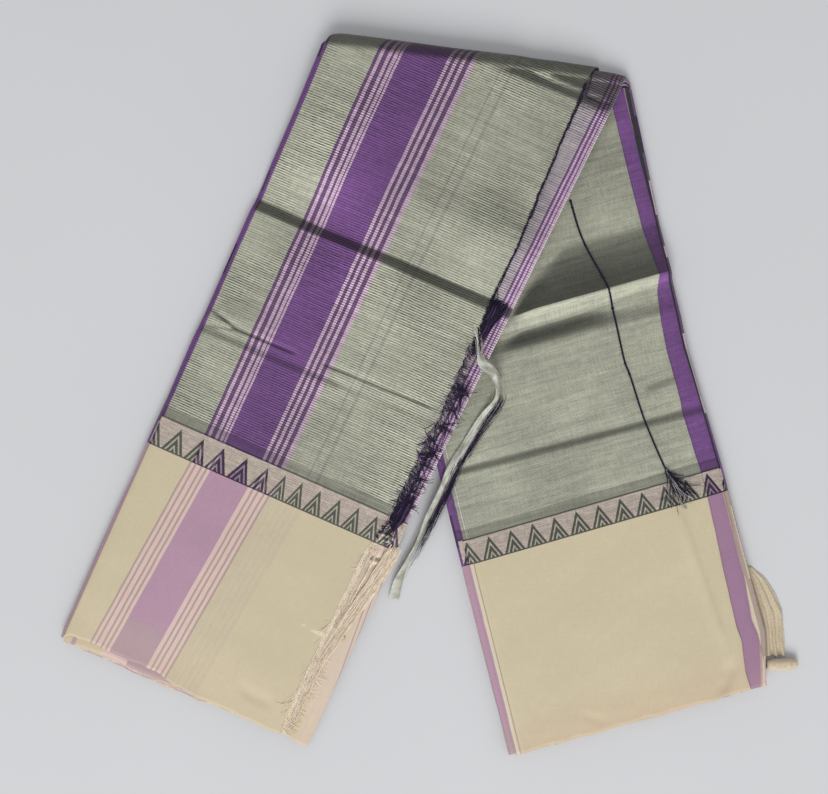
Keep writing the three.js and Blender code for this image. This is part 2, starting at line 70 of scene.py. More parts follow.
# Where each leg meets the turn and its hem, down its middle, and how wide the strip is.
UPPER_TURN, UPPER_HEM = 12.0, 594.75
LOWER_TURN, LOWER_HEM = 12.4, 581.0
STRIP_WIDTH = 250.0

# The range that most of a noise lies in.
NOISE_LOW, NOISE_HIGH = 0.3, 0.7

Array = np.ndarray
Piece = bpy.types.Object
Pair = tuple[float, float]
Pairs = tuple[Pair, ...]


class Yarn(Enum):
    """The colours of the yarn and of the cloth woven from it, as sRGB values."""

    GREEN = (160, 161, 143)
    GREEN_DIM = (148, 146, 134)
    PURPLE = (108, 68, 124)
    PURPLE_DARK = (62, 38, 74)
    PLUM = (98, 70, 106)
    PINK = (184, 158, 176)
    GREY_MAUVE = (158, 148, 152)
    WHITE = (212, 204, 206)
    CREAM = (197, 184, 154)
    CREAM_PALE = (205, 194, 168)
    BLUSH = (208, 182, 174)
    TAUPE = (168, 148, 138)
    MAUVE = (172, 138, 156)
    MAUVE_GREY = (168, 142, 150)
    NAVY = (30, 27, 48)
    VIOLET = (58, 40, 82)
    BOTTLE = (36, 42, 40)
    LILAC = (122, 108, 134)
    BROCADE = (184, 171, 158)
    MIST = (196, 199, 186)
    CREAM_DUSK = (192, 179, 153)
    ROSE_CREAM = (204, 186, 166)
    FLEECE = (250, 242, 224)
    FLEECE_TAN = (236, 212, 184)
    HEATHER = (152, 116, 142)
    TAN = (196, 170, 142)
    UMBER = (112, 96, 90)

    @property
    def linear(self) -> tuple[float, float, float, float]:
        """The colour as linear red, green, blue and alpha, by the standard curve of sRGB."""
        shares = [value / 255 for value in self.value]
        low = [share / 12.92 for share in shares]
        high = [((share + 0.055) / 1.055) ** 2.4 for share in shares]
        return (*[l if s <= 0.04045 else h for s, l, h in zip(shares, low, high)], 1.0)


def smoothstep(value: Array | float, start: float, end: float) -> Array:
    """A soft step from 0 to 1.

    Args:
        value: Where it is read.
        start: Where the step starts.
        end: Where it ends.

    Returns:
        The height of the step there.
    """
    share = np.clip((np.asarray(value, float) - start) / (end - start), 0, 1)
    return share * share * (3 - 2 * share)


def direction(start: Array, end: Array) -> Array:
    """The unit vector from one point to another."""
    return (end - start) / np.linalg.norm(end - start)


def lifted(ground: Array, level: Array) -> Array:
    """Points of the ground plan, raised to their heights."""
    return np.concatenate([ground, level[..., None]], axis=-1)


def axes(line: Array) -> tuple[Array, Array, Array]:
    """Unit vectors ahead along a line, level beside it and up from it, at each of its points."""
    ahead = np.gradient(line, axis=0)
    ahead /= np.maximum(np.linalg.norm(ahead, axis=1, keepdims=True), 1e-6)
    side = np.cross(ahead, [0.0, 0.0, 1.0])
    side /= np.maximum(np.linalg.norm(side, axis=1, keepdims=True), 1e-6)
    return ahead, side, np.cross(side, ahead)


class Wander:
    """A smooth random line, the same in every run of the script, which repeats after its knots."""

    knot_count = 256

    def __init__(self, seed: int, pitch: float) -> None:
        """Draws the line's knots.

        Args:
            seed: The number that the draw starts from.
            pitch: The distance between two knots, in millimetres.
        """
        self.pitch = pitch
        self.knots = np.random.default_rng(seed).uniform(-1, 1, self.knot_count)

    def __call__(self, run: Array | float) -> Array:
        """Its height, from -1 to 1, at a distance along it."""
        place = np.asarray(run, float) / self.pitch
        first = np.floor(place).astype(int)
        share = place - first
        share = share * share * (3 - 2 * share)
        low = self.knots[first % len(self.knots)]
        high = self.knots[(first + 1) % len(self.knots)]
        return low + (high - low) * share


@dataclass(frozen=True)
class Row:
    """A section across a leg: how far down its edges it runs, and what shows there."""

    left: float
    right: float
    rise: float
    shown: float
    under: float = 0.0
    crest: bool = False

    @property
    def travel(self) -> float:
        """How far down the middle of the leg it lies."""
        return (self.left + self.right) / 2


@dataclass(frozen=True)
class Crease:
    """A soft trough or ridge along a line: its ends, its two widths and its height."""

    start: Pair
    end: Pair
    above: float
    below: float
    height: float
    fade: float = 10.0

    def at(self, points: Array) -> Array:
        """How far it lifts the cloth at each of some points."""
        start, end = np.array(self.start), np.array(self.end)
        length = float(np.linalg.norm(end - start))
        along = (end - start) / length
        offset = points - start
        run = offset @ along
        side = offset @ np.array([along[1], -along[0]])
        width = np.where(side > 0, self.below, self.above)
        profile = np.exp(-((side / width) ** 2))
        ends = smoothstep(run, -self.fade, self.fade)
        ends = ends * (1 - smoothstep(run, length - self.fade, length + self.fade))
        return self.height * profile * ends


class Edge:
    """A leg's edge, a line of straight stretches that runs on past its last point."""

    def __init__(self, *points: Pair) -> None:
        """Keeps the points of the edge, from the turn to the hem."""
        self.points = np.array(points, float)
        steps = np.diff(self.points, axis=0)
        self.lengths = np.linalg.norm(steps, axis=1)
        self.starts = np.concatenate([[0.0], np.cumsum(self.lengths)[:-1]])
        self.ways = steps / self.lengths[:, None]

    def along(self, run: Array) -> Array:
        """The points at some distances down the edge."""
        run = np.asarray(run, float)
        last = len(self.lengths) - 1
        index = np.clip(np.searchsorted(self.starts, run, side="right") - 1, 0, last)
        rest = run - self.starts[index]
        return self.points[index] + self.ways[index] * rest[..., None]

    def right_of(self, points: Array) -> Array:
        """How far points lie to the right of the straight line down the edge."""
        way = self.points[-1] - self.points[0]
        offset = points - self.points[0]
        cross = way[0] * offset[..., 1] - way[1] * offset[..., 0]
        return cross / float(np.linalg.norm(way))


@dataclass
class Stations:
    """Sections across a leg, as arrays with one row for each."""

    travel: Array
    start: Array
    across: Array
    width: Array
    rise: Array
    shown: Array
    under: Array

    @property
    def down(self) -> Array:
        """Unit vectors down the leg."""
        return np.stack([self.across[:, 1], -self.across[:, 0]], axis=1)

    def place(self, inset: Array) -> Array:
        """Points at insets from the left edge, one row of insets for each section."""
        return self.start[:, None, :] + self.across[:, None, :] * inset[..., None]


@dataclass
class Leg:
    """One leg of the folded strip, which gives the place and height of each layer."""

    left: Edge
    right: Edge
    rows: tuple[Row, ...]
    topside: Callable[[Array], Array]
    underside: Callable[[Array], Array]
    fade: Callable[[Array], Array]
    creases: tuple[Crease, ...]
    border_row: int
    facet: Callable[[Array], Array] = field(default=lambda points: points[..., 0] * 0)

    def stations(self, travel: Array) -> Stations:
        """The sections at some distances down the middle of the leg."""
        table = np.array([row.travel for row in self.rows])

        def read(name: str) -> Array:
            """One column of the rows, read at the sections."""
            return np.interp(travel, table, [getattr(row, name) for row in self.rows])

        first = np.clip(np.searchsorted(table, travel, side="right") - 1, 0, len(table) - 2)
        share = np.clip((travel - table[first]) / (table[first + 1] - table[first]), 0, 1)
        crests = np.array([row.crest for row in self.rows])
        before = np.where(crests[first], 1 - (1 - share) ** 2, smoothstep(share, 0, 1))
        share = np.where(crests[first + 1], share**1.5, before)
        rises = np.array([row.rise for row in self.rows])
        rise = rises[first] + (rises[first + 1] - rises[first]) * share
        start, end = self.left.along(read("left")), self.right.along(read("right"))
        width = np.linalg.norm(end - start, axis=1)
        across = (end - start) / width[:, None]
        return Stations(travel, start, across, width, rise, read("shown"), read("under"))

    def top(self, stations: Stations, inset: Array) -> tuple[Array, Array]:
        """Where points on the leg's top surface lie.

        Args:
            stations: The sections, one for each row of insets.
            inset: How far in from the left edge each point lies.

        Returns:
            The points on the ground plan, and the heights above them.
        """
        points = stations.place(inset)
        width = stations.width[:, None]
        to_edge = np.clip(np.minimum(inset, width - inset), NOSE, EDGE_REACH)
        drop = EDGE_DROP * (1 - to_edge / EDGE_REACH) ** 2
        lift = stations.rise[:, None] * self.fade(points)
        for crease in self.creases:
            lift = lift + crease.at(points)
        height = self.topside(points) + THICKNESS + lift - drop - self.facet(points)
        return points, height

    def run_down(self, points: Array) -> Array:
        """How far points lie below the line where the border starts."""
        row = self.rows[self.border_row]
        start = self.left.along(np.array([row.left]))[0]
        end = self.right.along(np.array([row.right]))[0]
        across = direction(start, end)
        return (points - start) @ np.array([across[1], -across[0]])


UPPER_LEFT = Edge((-73.6, 306.3), (-302.5, -206.5))
UPPER_RIGHT = Edge((181.1, 272.5), (-96.9, -293.1))
UPPER_ROWS = (
    Row(12.8, 11.2, 0.0, 30.5),
    Row(102, 168, 0.8, 20.0),
    Row(150, 221, -3.4, 19.5),
    Row(160, 231, 0.9, 19.5),
    Row(258, 325, 0.0, 16.0),
    Row(267, 334, -0.5, 16.0),
    Row(274, 341, 0.0, 17.0),
    Row(350, 423, 0.0, 15.0),
    Row(377, 449, 0.3, 20.0),
    Row(500, 575, 0.6, 20.0),
    Row(560.5, 629, -0.6, 18.0),
)
LOWER_LEFT = Edge((-67.3, 303.9), (31.5, -109.0), (80.9, -306.5))
LOWER_RIGHT = Edge(
    *((182.2, 274.1), (232.4, 44.3), (262.2, -57.9)),
    *((281.5, -134.5), (299.0, -200.0), (300.5, -245.5)),
)
LOWER_ROWS = (
    Row(11.5, 13.3, -1.0, 21.0, 8.0),
    Row(226, 126, -1.5, 17.0, 4.0),
    Row(268, 172, 5.2, 12.0, 4.0, crest=True),
    Row(279, 185, -1.4, 16.0, 4.0),
    Row(294, 206, 0.2, 18.0, 4.0),
    Row(371, 279, 0.0, 20.0, 4.0),
    Row(378.5, 287, -0.45, 21.0, 4.0),
    Row(386, 295, 0.2, 21.0, 4.0),
    Row(438, 342.5, 0.0, 20.0, 4.0),
    Row(461, 363.5, 0.3, 20.0, 5.0),
    Row(495, 398, 0.2, 21.0, 5.6),
    Row(533.3, 437.3, 0.1, 22.5, 6.0),
    Row(572, 476.8, 0.0, 23.5, 9.5),
    Row(609.6, 515.2, -0.3, 20.0, 2.2),
    Row(628, 534, -0.5, 15.0, 0.6),
)
UPPER_CREASES = (
    Crease((8.0, 116.0), (92.0, 81.0), 15.0, 5.0, 1.1, 18),
    Crease((-172.0, 76.0), (-150.0, 58.5), 2.4, 1.4, -0.7, 4),
    Crease((-176.0, 62.0), (-152.0, 57.5), 2.0, 1.4, -0.4, 4),
    Crease((-152.0, 59.0), (-100.0, 37.0), 3.0, 1.6, -0.75, 8),
    Crease((-75.3, 27.6), (15.1, -8.4), 3.2, 1.3, -0.8, 8),
    Crease((-147.0, -247.6), (-121.7, -260.3), 6.0, 4.0, -0.5, 6),
    Crease((-11.7, 164.7), (88.6, 127.1), 28.0, 22.0, 1.4, 18),
    Crease((108.0, 271.4), (142.4, 255.1), 1.6, 2.2, 0.8, 5),
    Crease((58.0, 286.5), (163.0, 244.5), 3.4, 2.6, -2.2, 7),
    Crease((-41.0, -133.5), (-12.0, -142.0), 2.2, 1.8, -1.0, 4),
    Crease((-39.0, -137.5), (-11.0, -146.5), 1.8, 2.0, 0.9, 4),
    Crease((-37.0, -141.5), (-11.0, -151.0), 1.8, 2.0, -0.9, 4),
    Crease((153.0, 276.7), (144.6, 251.6), 1.3, 1.3, -0.9, 3),
)
LOWER_CREASES = (
    Crease((152.0, 76.0), (226.0, 94.0), 8.0, 9.0, 1.2, 16),
    Crease((52.0, 43.0), (167.5, 79.5), 5.0, 9.0, -0.95, 14),
    Crease((195.5, 10.2), (220.9, 18.6), 2.0, 3.0, -0.5, 5),
    Crease((226.0, -99.0), (262.0, -205.0), 2.5, 7.0, 0.9, 14),
    Crease((268.0, -226.0), (262.0, -252.0), 5.0, 6.0, -1.2, 8),
    Crease((142.0, -269.0), (162.0, -275.0), 4.0, 5.0, -0.35, 6),
)


@dataclass(frozen=True)
class Facet:
    """A triangle of the upper leg that slopes down to the turn, past a line."""

    start: Pair = (42.6, 290.1)
    end: Pair = (146.0, 250.0)
    slope: float = 0.4
    soften: float = 2.2

    def __call__(self, points: Array) -> Array:
        """How far it takes the cloth down at each of some points."""
        start, end = np.array(self.start), np.array(self.end)
        along = direction(start, end)
        past = (points - start) @ np.array([-along[1], along[0]])
        run = (points - start) @ along
        soft = self.soften * np.logaddexp(0, past / self.soften)
        return self.slope * soft * smoothstep(run, -25, 30) * (past > -4 * self.soften)


def carried(points: Array, start: float, width: float) -> Array:
    """Height of what carries the upper leg, which falls along a ramp beside the lower leg."""
    return LIFT * (1 - smoothstep(-LOWER_LEFT.right_of(points), start, start + width))


UPPER_LEG = Leg(
    left=UPPER_LEFT,
    right=UPPER_RIGHT,
    rows=UPPER_ROWS,
    topside=lambda points: carried(points, -10, 80),
    underside=lambda points: carried(points, 8, 45),
    fade=lambda points: np.ones(points.shape[:-1]),
    creases=UPPER_CREASES,
    border_row=8,
    facet=Facet(),
)
LOWER_LEG = Leg(
    left=LOWER_LEFT,
    right=LOWER_RIGHT,
    rows=LOWER_ROWS,
    topside=lambda points: np.zeros(points.shape[:-1]),
    underside=lambda points: np.zeros(points.shape[:-1]),
    fade=lambda points: smoothstep(UPPER_RIGHT.right_of(points), 1, 16),
    creases=LOWER_CREASES,
    border_row=9,
)


@dataclass(frozen=True)
class Turn:
    """The turn at the strip's middle: its front line and how it rounds off at its ends."""

    above: Pairs = ((-78.8, 294.6), (176.2, 262.4))
    below: Pairs = ((-64.6, 292.7), (185.0, 261.1))
    bulge: float = 15.0
    lean: float = 0.3
    ends: Pairs = (
        *((0.0, 0.72), (0.01, 0.9), (0.035, 1.0), (0.15, 1.0), (0.4, 0.96)),
        *((0.6, 1.0), (0.85, 0.98), (0.96, 0.96), (0.988, 0.92), (1.0, 0.72)),
    )

    def swell(self, share: Array) -> Array:
        """How far it bulges, as a share of its bulge, along its front."""
        places, sizes = zip(*self.ends)
        return np.interp(share, places, sizes)

    def rings(self, angle: Array, share: Array, depth: Array, height: Array) -> Array:
        """Points round the turn.

        Args:
            angle: The angle of each row, from 90 degrees on top to -90 at the table.
            share: How far across each point lies, from 0 at its left end to 1.
            depth: How far inside its outer surface each point lies.
            height: How high the turn stands at each point.

        Returns:
            The points, with a row for each angle.
        """
        turned = np.radians(angle)[:, None]
        low = (1 - np.sin(turned))[..., None] / 2
        start = np.array(self.above[0]) * (1 - low) + np.array(self.below[0]) * low
        end = np.array(self.above[1]) * (1 - low) + np.array(self.below[1]) * low
        length = np.linalg.norm(end - start, axis=-1, keepdims=True)
        along = (end - start) / length
        out = np.stack([-along[..., 1], along[..., 0]], axis=-1)
        reach = self.bulge * self.swell(share)
        reach = reach * np.clip(1 - depth / (height / 2), 0.02, 1) * np.cos(turned)
        lean = self.lean * smoothstep(share, 0, 0.12) * smoothstep(1 - share, 0, 0.12)
        run = share * length[..., 0] + reach * lean
        ground = start + run[..., None] * along + reach[..., None] * out
        level = height / 2 + (height / 2 - depth) * np.sin(turned)
        return lifted(ground, level)


TURN = Turn()


Socket = bpy.types.NodeSocket
Value = Socket | float


class Shader:
    """A material's node tree, put together step by step."""

    sheen_roughness = 0.4
    relief_strength = 0.7
    relief_depth = 0.0003

    def __init__(self, name: str, roughness: float, sheen: float, specular: float) -> None:
        """Starts a material.

        Args:
            name: The material's name.
            roughness: How rough its surface is.
            sheen: How much its fibres shine at a glancing angle.
            specular: How strongly it reflects.
        """
        self.material = bpy.data.materials.new(name)
        self.material.use_nodes = True
        self.tree = self.material.node_tree
        self.surface = self.tree.nodes["Principled BSDF"]
        self.surface.inputs["Roughness"].default_value = roughness
        self.surface.inputs["Sheen Weight"].default_value = sheen
        self.surface.inputs["Sheen Roughness"].default_value = self.sheen_roughness
        self.surface.inputs["Specular IOR Level"].default_value = specular

    def node(self, kind: str, **settings: Any) -> bpy.types.Node:
        """A new node of a kind, with some of its settings changed."""
        made = self.tree.nodes.new(kind)
        for name, value in settings.items():
            setattr(made, name, value)
        return made

    def put(self, socket: Socket, value: Value | tuple) -> None:
        """Links a socket to another one, or sets its value."""
        if isinstance(value, bpy.types.NodeSocket):
            self.tree.links.new(value, socket)
        else:
            socket.default_value = value

    def math(self, operation: str, *values: Value) -> Socket:
        """The result of a sum on some values."""
        made = self.node("ShaderNodeMath", operation=operation)
        for socket, value in zip(made.inputs, values):
            self.put(socket, value)
        return made.outputs[0]

    def times(self, first: Value, second: Value) -> Socket:
        """The product of two values."""
        return self.math("MULTIPLY", first, second)

    def plus(self, first: Value, second: Value) -> Socket:
        """Two values added up."""
        return self.math("ADD", first, second)

    def minus(self, first: Value, second: Value) -> Socket:
        """A value with another one taken away."""
        return self.math("SUBTRACT", first, second)

    def above(self, value: Value, edge: Value) -> Socket:
        """1 where a value is above an edge, 0 elsewhere."""
        return self.math("GREATER_THAN", value, edge)

    def below(self, value: Value, edge: Value) -> Socket:
        """1 where a value is below an edge, 0 elsewhere."""
        return self.math("LESS_THAN", value, edge)

    def fit(self, value: Value, low: float, high: float, start: float, end: float) -> Socket:
        """A value mapped from one range to another, and kept within it."""
        made = self.node("ShaderNodeMapRange", clamp=True)
        for socket, number in zip(made.inputs, (value, low, high, start, end)):
            self.put(socket, number)
        return made.outputs[0]

    def mix(self, share: Value, first: Socket | tuple, second: Socket | tuple) -> Socket:
        """A blend of two colours."""
        made = self.node("ShaderNodeMix", data_type="RGBA")
        # A mix node has sockets for numbers and vectors too. These are the ones for colours.
        for number, value in ((0, share), (6, first), (7, second)):
            self.put(made.inputs[number], value)
        return made.outputs[2]

    def shade(self, colour: Socket | tuple, amount: Value) -> Socket:
        """A colour made brighter or darker by an amount."""
        made = self.node("ShaderNodeVectorMath", operation="SCALE")
        self.put(made.inputs[0], colour[:3] if isinstance(colour, tuple) else colour)
        self.put(made.inputs["Scale"], amount)
        return made.outputs[0]

    def bands(self, place: Value, stops: Sequence[tuple[float, Yarn]], hard: bool = True) -> Socket:
        """Colours that follow each other along a value from 0 to 1.

        Args:
            place: The value.
            stops: Where each colour starts, and the colour.
            hard: True for stripes with clean edges, False for a soft run of colours.

        Returns:
            The colour.
        """
        made = self.node("ShaderNodeValToRGB")
        ramp = made.color_ramp
        ramp.interpolation = "CONSTANT" if hard else "LINEAR"
        for _ in range(len(stops) - 2):
            ramp.elements.new(0.5)
        for element, (start, yarn) in zip(ramp.elements, stops):
            element.position = start
            element.color = yarn.linear
        self.put(made.inputs[0], place)
        return made.outputs[0]

    def split(self, point: Socket) -> tuple[Socket, Socket]:
        """The first two numbers of a point."""
        made = self.node("ShaderNodeSeparateXYZ")
        self.put(made.inputs[0], point)
        return made.outputs[0], made.outputs[1]

    def read(self, name: str) -> tuple[Socket, Socket]:
        """The two numbers of a UV map."""
        return self.split(self.node("ShaderNodeUVMap", uv_map=name).outputs[0])

    def point(self, x: Value, y: Value, z: Value = 0.0) -> Socket:
        """A point from its numbers."""
        made = self.node("ShaderNodeCombineXYZ")
        for socket, value in zip(made.inputs, (x, y, z)):
            self.put(socket, value)
        return made.outputs[0]

    def noise(self, point: Socket, scale: float, detail: float = 2.0) -> Socket:
        """A random value from 0 to 1 that changes smoothly from place to place."""
        made = self.node("ShaderNodeTexNoise")
        self.put(made.inputs["Vector"], point)
        made.inputs["Scale"].default_value = scale
        made.inputs["Detail"].default_value = detail
        return made.outputs[0]

    def drawn_out(
        self, across: Value, down: Value, scales: Pair, detail: float, layer: float = 0.0
    ) -> Socket:
        """A noise that is finer one way of the cloth than the other.

        Args:
            across: The place across the cloth.
            down: The place down the cloth.
            scales: How fine the noise is across and down.
            detail: How many finer noises lie in it.
            layer: Which of many such noises it is.

        Returns:
            The noise, from 0 to 1.
        """
        place = self.point(self.times(across, scales[0]), self.times(down, scales[1]), layer)
        return self.noise(place, 1.0, detail)

    def vary(self, noise: Socket, start: float, end: float) -> Socket:
        """A noise mapped from the range that most of it lies in to another one."""
        return self.fit(noise, NOISE_LOW, NOISE_HIGH, start, end)

    def finish(self, colour: Socket, height: Socket | None = None) -> None:
        """Gives the surface its colour, and a relief if there is one."""
        self.put(self.surface.inputs["Base Color"], colour)
        if height is not None:
            bump = self.node("ShaderNodeBump")
            bump.inputs["Strength"].default_value = self.relief_strength
            bump.inputs["Distance"].default_value = self.relief_depth
            self.put(bump.inputs["Height"], height)
            self.put(self.surface.inputs["Normal"], bump.outputs[0])


Stops = tuple[tuple[float, Yarn], ...]


def taking_turns(first: Yarn, second: Yarn, *starts: float) -> Stops:
    """Stripes of two yarns that take turns, from where each of them starts."""
    return tuple((start, (first, second)[number % 2]) for number, start in enumerate(starts))


UPPER_FIELD: Stops = (
    (0.0, Yarn.PURPLE),
    (0.02, Yarn.GREEN),
    *taking_turns(Yarn.PLUM, Yarn.PINK, 0.187, 0.199, 0.2105, 0.223, 0.236, 0.2455, 0.254, 0.259),
    (0.268, Yarn.PURPLE),
    *taking_turns(Yarn.PINK, Yarn.PLUM, 0.415, 0.428, 0.440, 0.451, 0.4625, 0.474, 0.491),
    *taking_turns(Yarn.GREEN, Yarn.GREEN_DIM, 0.505, 0.590, 0.600, 0.626, 0.638),
)
UPPER_FIELD_UNDER: Stops = (
    (0.0, Yarn.PURPLE),
    (0.06, Yarn.GREY_MAUVE),
    (0.952, Yarn.PLUM),
    *taking_turns(Yarn.PINK, Yarn.PURPLE, 0.959, 0.966, 0.975, 0.981, 0.987),
    (0.994, Yarn.WHITE),
)
UPPER_BORDER: Stops = (
    (0.0, Yarn.MAUVE),
    (0.012, Yarn.CREAM),
    *taking_turns(Yarn.TAUPE, Yarn.BLUSH, 0.176, 0.185, 0.197, 0.206, 0.219, 0.228, 0.241, 0.249),
    (0.261, Yarn.MAUVE),
    *taking_turns(Yarn.BLUSH, Yarn.TAUPE, 0.414, 0.426, 0.435, 0.448, 0.457, 0.470, 0.479, 0.491),
    *taking_turns(Yarn.CREAM_DUSK, Yarn.CREAM, 0.500, 0.532, 0.539, 0.555, 0.562, 0.579),
    *taking_turns(Yarn.CREAM_DUSK, Yarn.CREAM, 0.585, 0.602, 0.609, 0.626),
)
UPPER_BORDER_UNDER: Stops = (
    (0.0, Yarn.CREAM),
    (0.10, Yarn.BLUSH),
    (0.20, Yarn.MAUVE_GREY),
    (0.45, Yarn.CREAM),
    *taking_turns(Yarn.ROSE_CREAM, Yarn.MAUVE_GREY, 0.88, 0.950, 0.955, 0.965, 0.971),
    (0.982, Yarn.MAUVE),
    (0.990, Yarn.BLUSH),
)
LOWER_FIELD: Stops = ((0.0, Yarn.GREEN), (1.0, Yarn.GREEN))
LOWER_BORDER: Stops = ((0.0, Yarn.CREAM), (1.0, Yarn.CREAM))
STACK_FIELD: Stops = (
    (0.0, Yarn.PURPLE),
    (0.025, Yarn.GREEN),
    (0.955, Yarn.PURPLE_DARK),
    (0.965, Yarn.PINK),
    (0.973, Yarn.HEATHER),
    (0.981, Yarn.BOTTLE),
)
STACK_BORDER: Stops = (
    (0.0, Yarn.MAUVE),
    (0.025, Yarn.CREAM),
    (0.955, Yarn.TAUPE),
    (0.963, Yarn.BLUSH),
    (0.975, Yarn.CREAM_PALE),
    (0.988, Yarn.TAUPE),
)
SECOND_FIELD: Stops = (
    (0.0, Yarn.PURPLE),
    (0.029, Yarn.GREEN),
    (0.041, Yarn.WHITE),
    (0.048, Yarn.GREEN),
    (0.88, Yarn.PURPLE),
)
SECOND_BORDER: Stops = (
    (0.0, Yarn.MAUVE),
    (0.029, Yarn.CREAM_PALE),
    (0.040, Yarn.TAUPE),
    (0.044, Yarn.CREAM),
    (0.88, Yarn.HEATHER),
    (0.972, Yarn.TAUPE),
    (0.980, Yarn.BLUSH),
    (0.990, Yarn.TAUPE),
    (0.995, Yarn.BLUSH),
)


@dataclass(frozen=True)
class Temples:
    """The woven band of pointed temples where the field meets the border, in metres."""

    zone: float
    height: float
    strength: float
    light: Yarn = Yarn.BROCADE
    ground: Yarn = Yarn.BROCADE
    bands: tuple[float, ...] = (0.24, 0.38, 0.64, 0.76)
    weft_step: float = 0.0009
    roughness: float = 0.10
    row_step: float = 0.0017
    row_share: float = 0.42
    dash_share: float = 0.47
    dash_strength: float = 0.42
    light_share: float = 0.6
    foot_line: float = 0.0012
    head_line: float = 0.0014


@dataclass(frozen=True)
class WovenCloth:
    """The cloth of the saree: stripes along it, ribs across it, temples and a plain border.

    Lengths are in metres. Tones are shares of a colour's brightness, and contrasts are how far
    it swings from there. Where no stripes are given for the back, they are those of the front.
    """

    name: str
    field_front: Stops
    border_front: Stops
    temples: Temples
    rib_contrast: float
    field_back: Stops = ()
    border_back: Stops = ()
    rib_middle: float = 0.57
    width: float = 0.244
    rib_pitch: float = 0.00207
    sway: float = 0.004
    # Painted shade and highlight from the tilt of the cloth: how strongly a slope turned away from the
    # light is darkened, in the field and in the border, how strongly one that faces it is lightened, and
    # the darkest share that the painted shade may reach.
    crease_painted_shade: float = 5.0
    border_crease_painted_shade: float = 0.8
    rise_painted_highlight: float = 0.5
    darkest: float = 0.26
    grain: float = 0.22
    border_grain: float = 0.05
    # Painted shadow near the turn: the share of brightness at the turn, and the stretch down the leg, in
    # metres, over which it goes back to full brightness.
    painted_turn_shadow: float = 1.0
    painted_turn_shadow_span: Pair = (-0.36, -0.21)
    foot: float = 0.008
    foot_tone: float = 0.62
    foot_ribs: float = 0.25
    stripe_shift: float = 0.0
    border_length: float = 0.176
    worn_length: float = 0.035
    stain: float = 0.15
    stain_length: float = 0.045

    def material(self) -> bpy.types.Material:
        """The cloth's material, on the piece's two UV maps."""
        shader = Shader(self.name, roughness=0.6, sheen=0.15, specular=0.4)
        across, down = shader.read("cloth")
        count, tilt = shader.read("temples")
        metric = shader.point(shader.times(across, self.width), down)
        nudge = shader.times(shader.minus(shader.noise(metric, 55), 0.5), self.sway)
        place = shader.plus(across, nudge)
        in_border = shader.above(down, 0.0)
        ribs, contrast = self.ribs(shader, metric, down)
        above_foot = shader.below(down, -self.temples.zone - self.foot)
        contrast = shader.times(contrast, shader.fit(above_foot, 0, 1, self.foot_ribs, 1))
        flat = self.striped(shader, place, self.field_front, self.field_back)
        colour = self.ribbed(shader, flat, ribs, contrast)
        colour = shader.shade(colour, shader.fit(above_foot, 0, 1, self.foot_tone, 1))
        colour = shader.shade(colour, self.streaks(shader, across, down))
        band = self.temple_band(shader, metric, count, down, flat)
        colour = shader.mix(shader.above(down, -self.temples.zone), colour, band)
        shift = shader.times(down, self.stripe_shift / self.border_length)
        colour = shader.mix(in_border, colour, self.border(shader, shader.plus(place, shift), down))
        # Painted shadow, darker towards the turn.
        colour = shader.shade(colour, shader.fit(down, *self.painted_turn_shadow_span, self.painted_turn_shadow, 1.0))
        threads = self.threads(shader, across, down)
        grain = shader.fit(in_border, 0, 1, self.grain, self.border_grain)
        grain = shader.times(shader.times(shader.minus(threads, 0.5), 5.0), grain)
        # Painted shade and highlight from the cloth's tilt, stronger in the field than in the border.
        strength = shader.fit(in_border, 0, 1, self.crease_painted_shade, self.border_crease_painted_shade)
        painted_tilt_light = self.painted_tilt_light(shader, tilt, strength)
        colour = shader.shade(colour, shader.times(shader.plus(grain, 1.0), painted_tilt_light))
        relief = shader.times(ribs, shader.times(contrast, shader.minus(1.0, in_border)))
        shader.finish(colour, shader.plus(relief, shader.times(threads, 0.5)))
        return shader.material

    def border(self, shader: Shader, place: Socket, down: Socket) -> Socket:
        """The border's stripes, whose mauve one turns grey towards the hem."""
        colour = self.striped(shader, place, self.border_front, self.border_back)
        front, back = (
            tuple((start, Yarn.MAUVE_GREY if yarn is Yarn.MAUVE else yarn) for start, yarn in stops)
            for stops in (self.border_front, self.border_back)
        )
        worn = self.striped(shader, place, front, back)
        near_hem = shader.above(down, self.border_length - self.worn_length)
        colour = shader.mix(near_hem, colour, worn)
        first_stain = self.border_length - self.stain_length
        stained = shader.fit(down, first_stain, self.border_length, 0.0, self.stain)
        colour = shader.mix(stained, colour, Yarn.TAN.linear)
        clouds = shader.noise(shader.point(place, shader.times(down, 9.0)), 3.0, 2)
        return shader.shade(colour, shader.vary(clouds, 0.97, 1.03))

    def painted_tilt_light(self, shader: Shader, tilt: Socket, strength: Socket) -> Socket:
        """Painted shade where a crease tilts the cloth away from the light, and a painted highlight where
        it tilts towards it.
        """
        away = shader.times(shader.math("MINIMUM", tilt, 0.0), strength)
        towards = shader.times(shader.math("MAXIMUM", tilt, 0.0), self.rise_painted_highlight)
        change = shader.math("EXPONENT", shader.plus(away, towards))
        return shader.math("MAXIMUM", change, self.darkest)

    def streaks(self, shader: Shader, across: Socket, down: Socket) -> Socket:
        """The uneven darkness of the field, in streaks along the weft and in clouds."""
        fine = shader.drawn_out(across, down, (3.0, 260.0), 3)
        broad = shader.drawn_out(across, down, (4.0, 13.0), 3, layer=3.0)
        return shader.times(shader.vary(fine, 0.82, 1.16), shader.vary(broad, 0.8, 1.14))

    def striped(self, shader: Shader, place: Socket, front: Stops, back: Stops) -> Socket:
        """The stripes at a place across the cloth, on its front or past its fold."""
        on_front = shader.bands(place, front)
        on_back = shader.bands(shader.times(place, -1.0), back or front)
        return shader.mix(shader.below(place, 0.0), on_front, on_back)

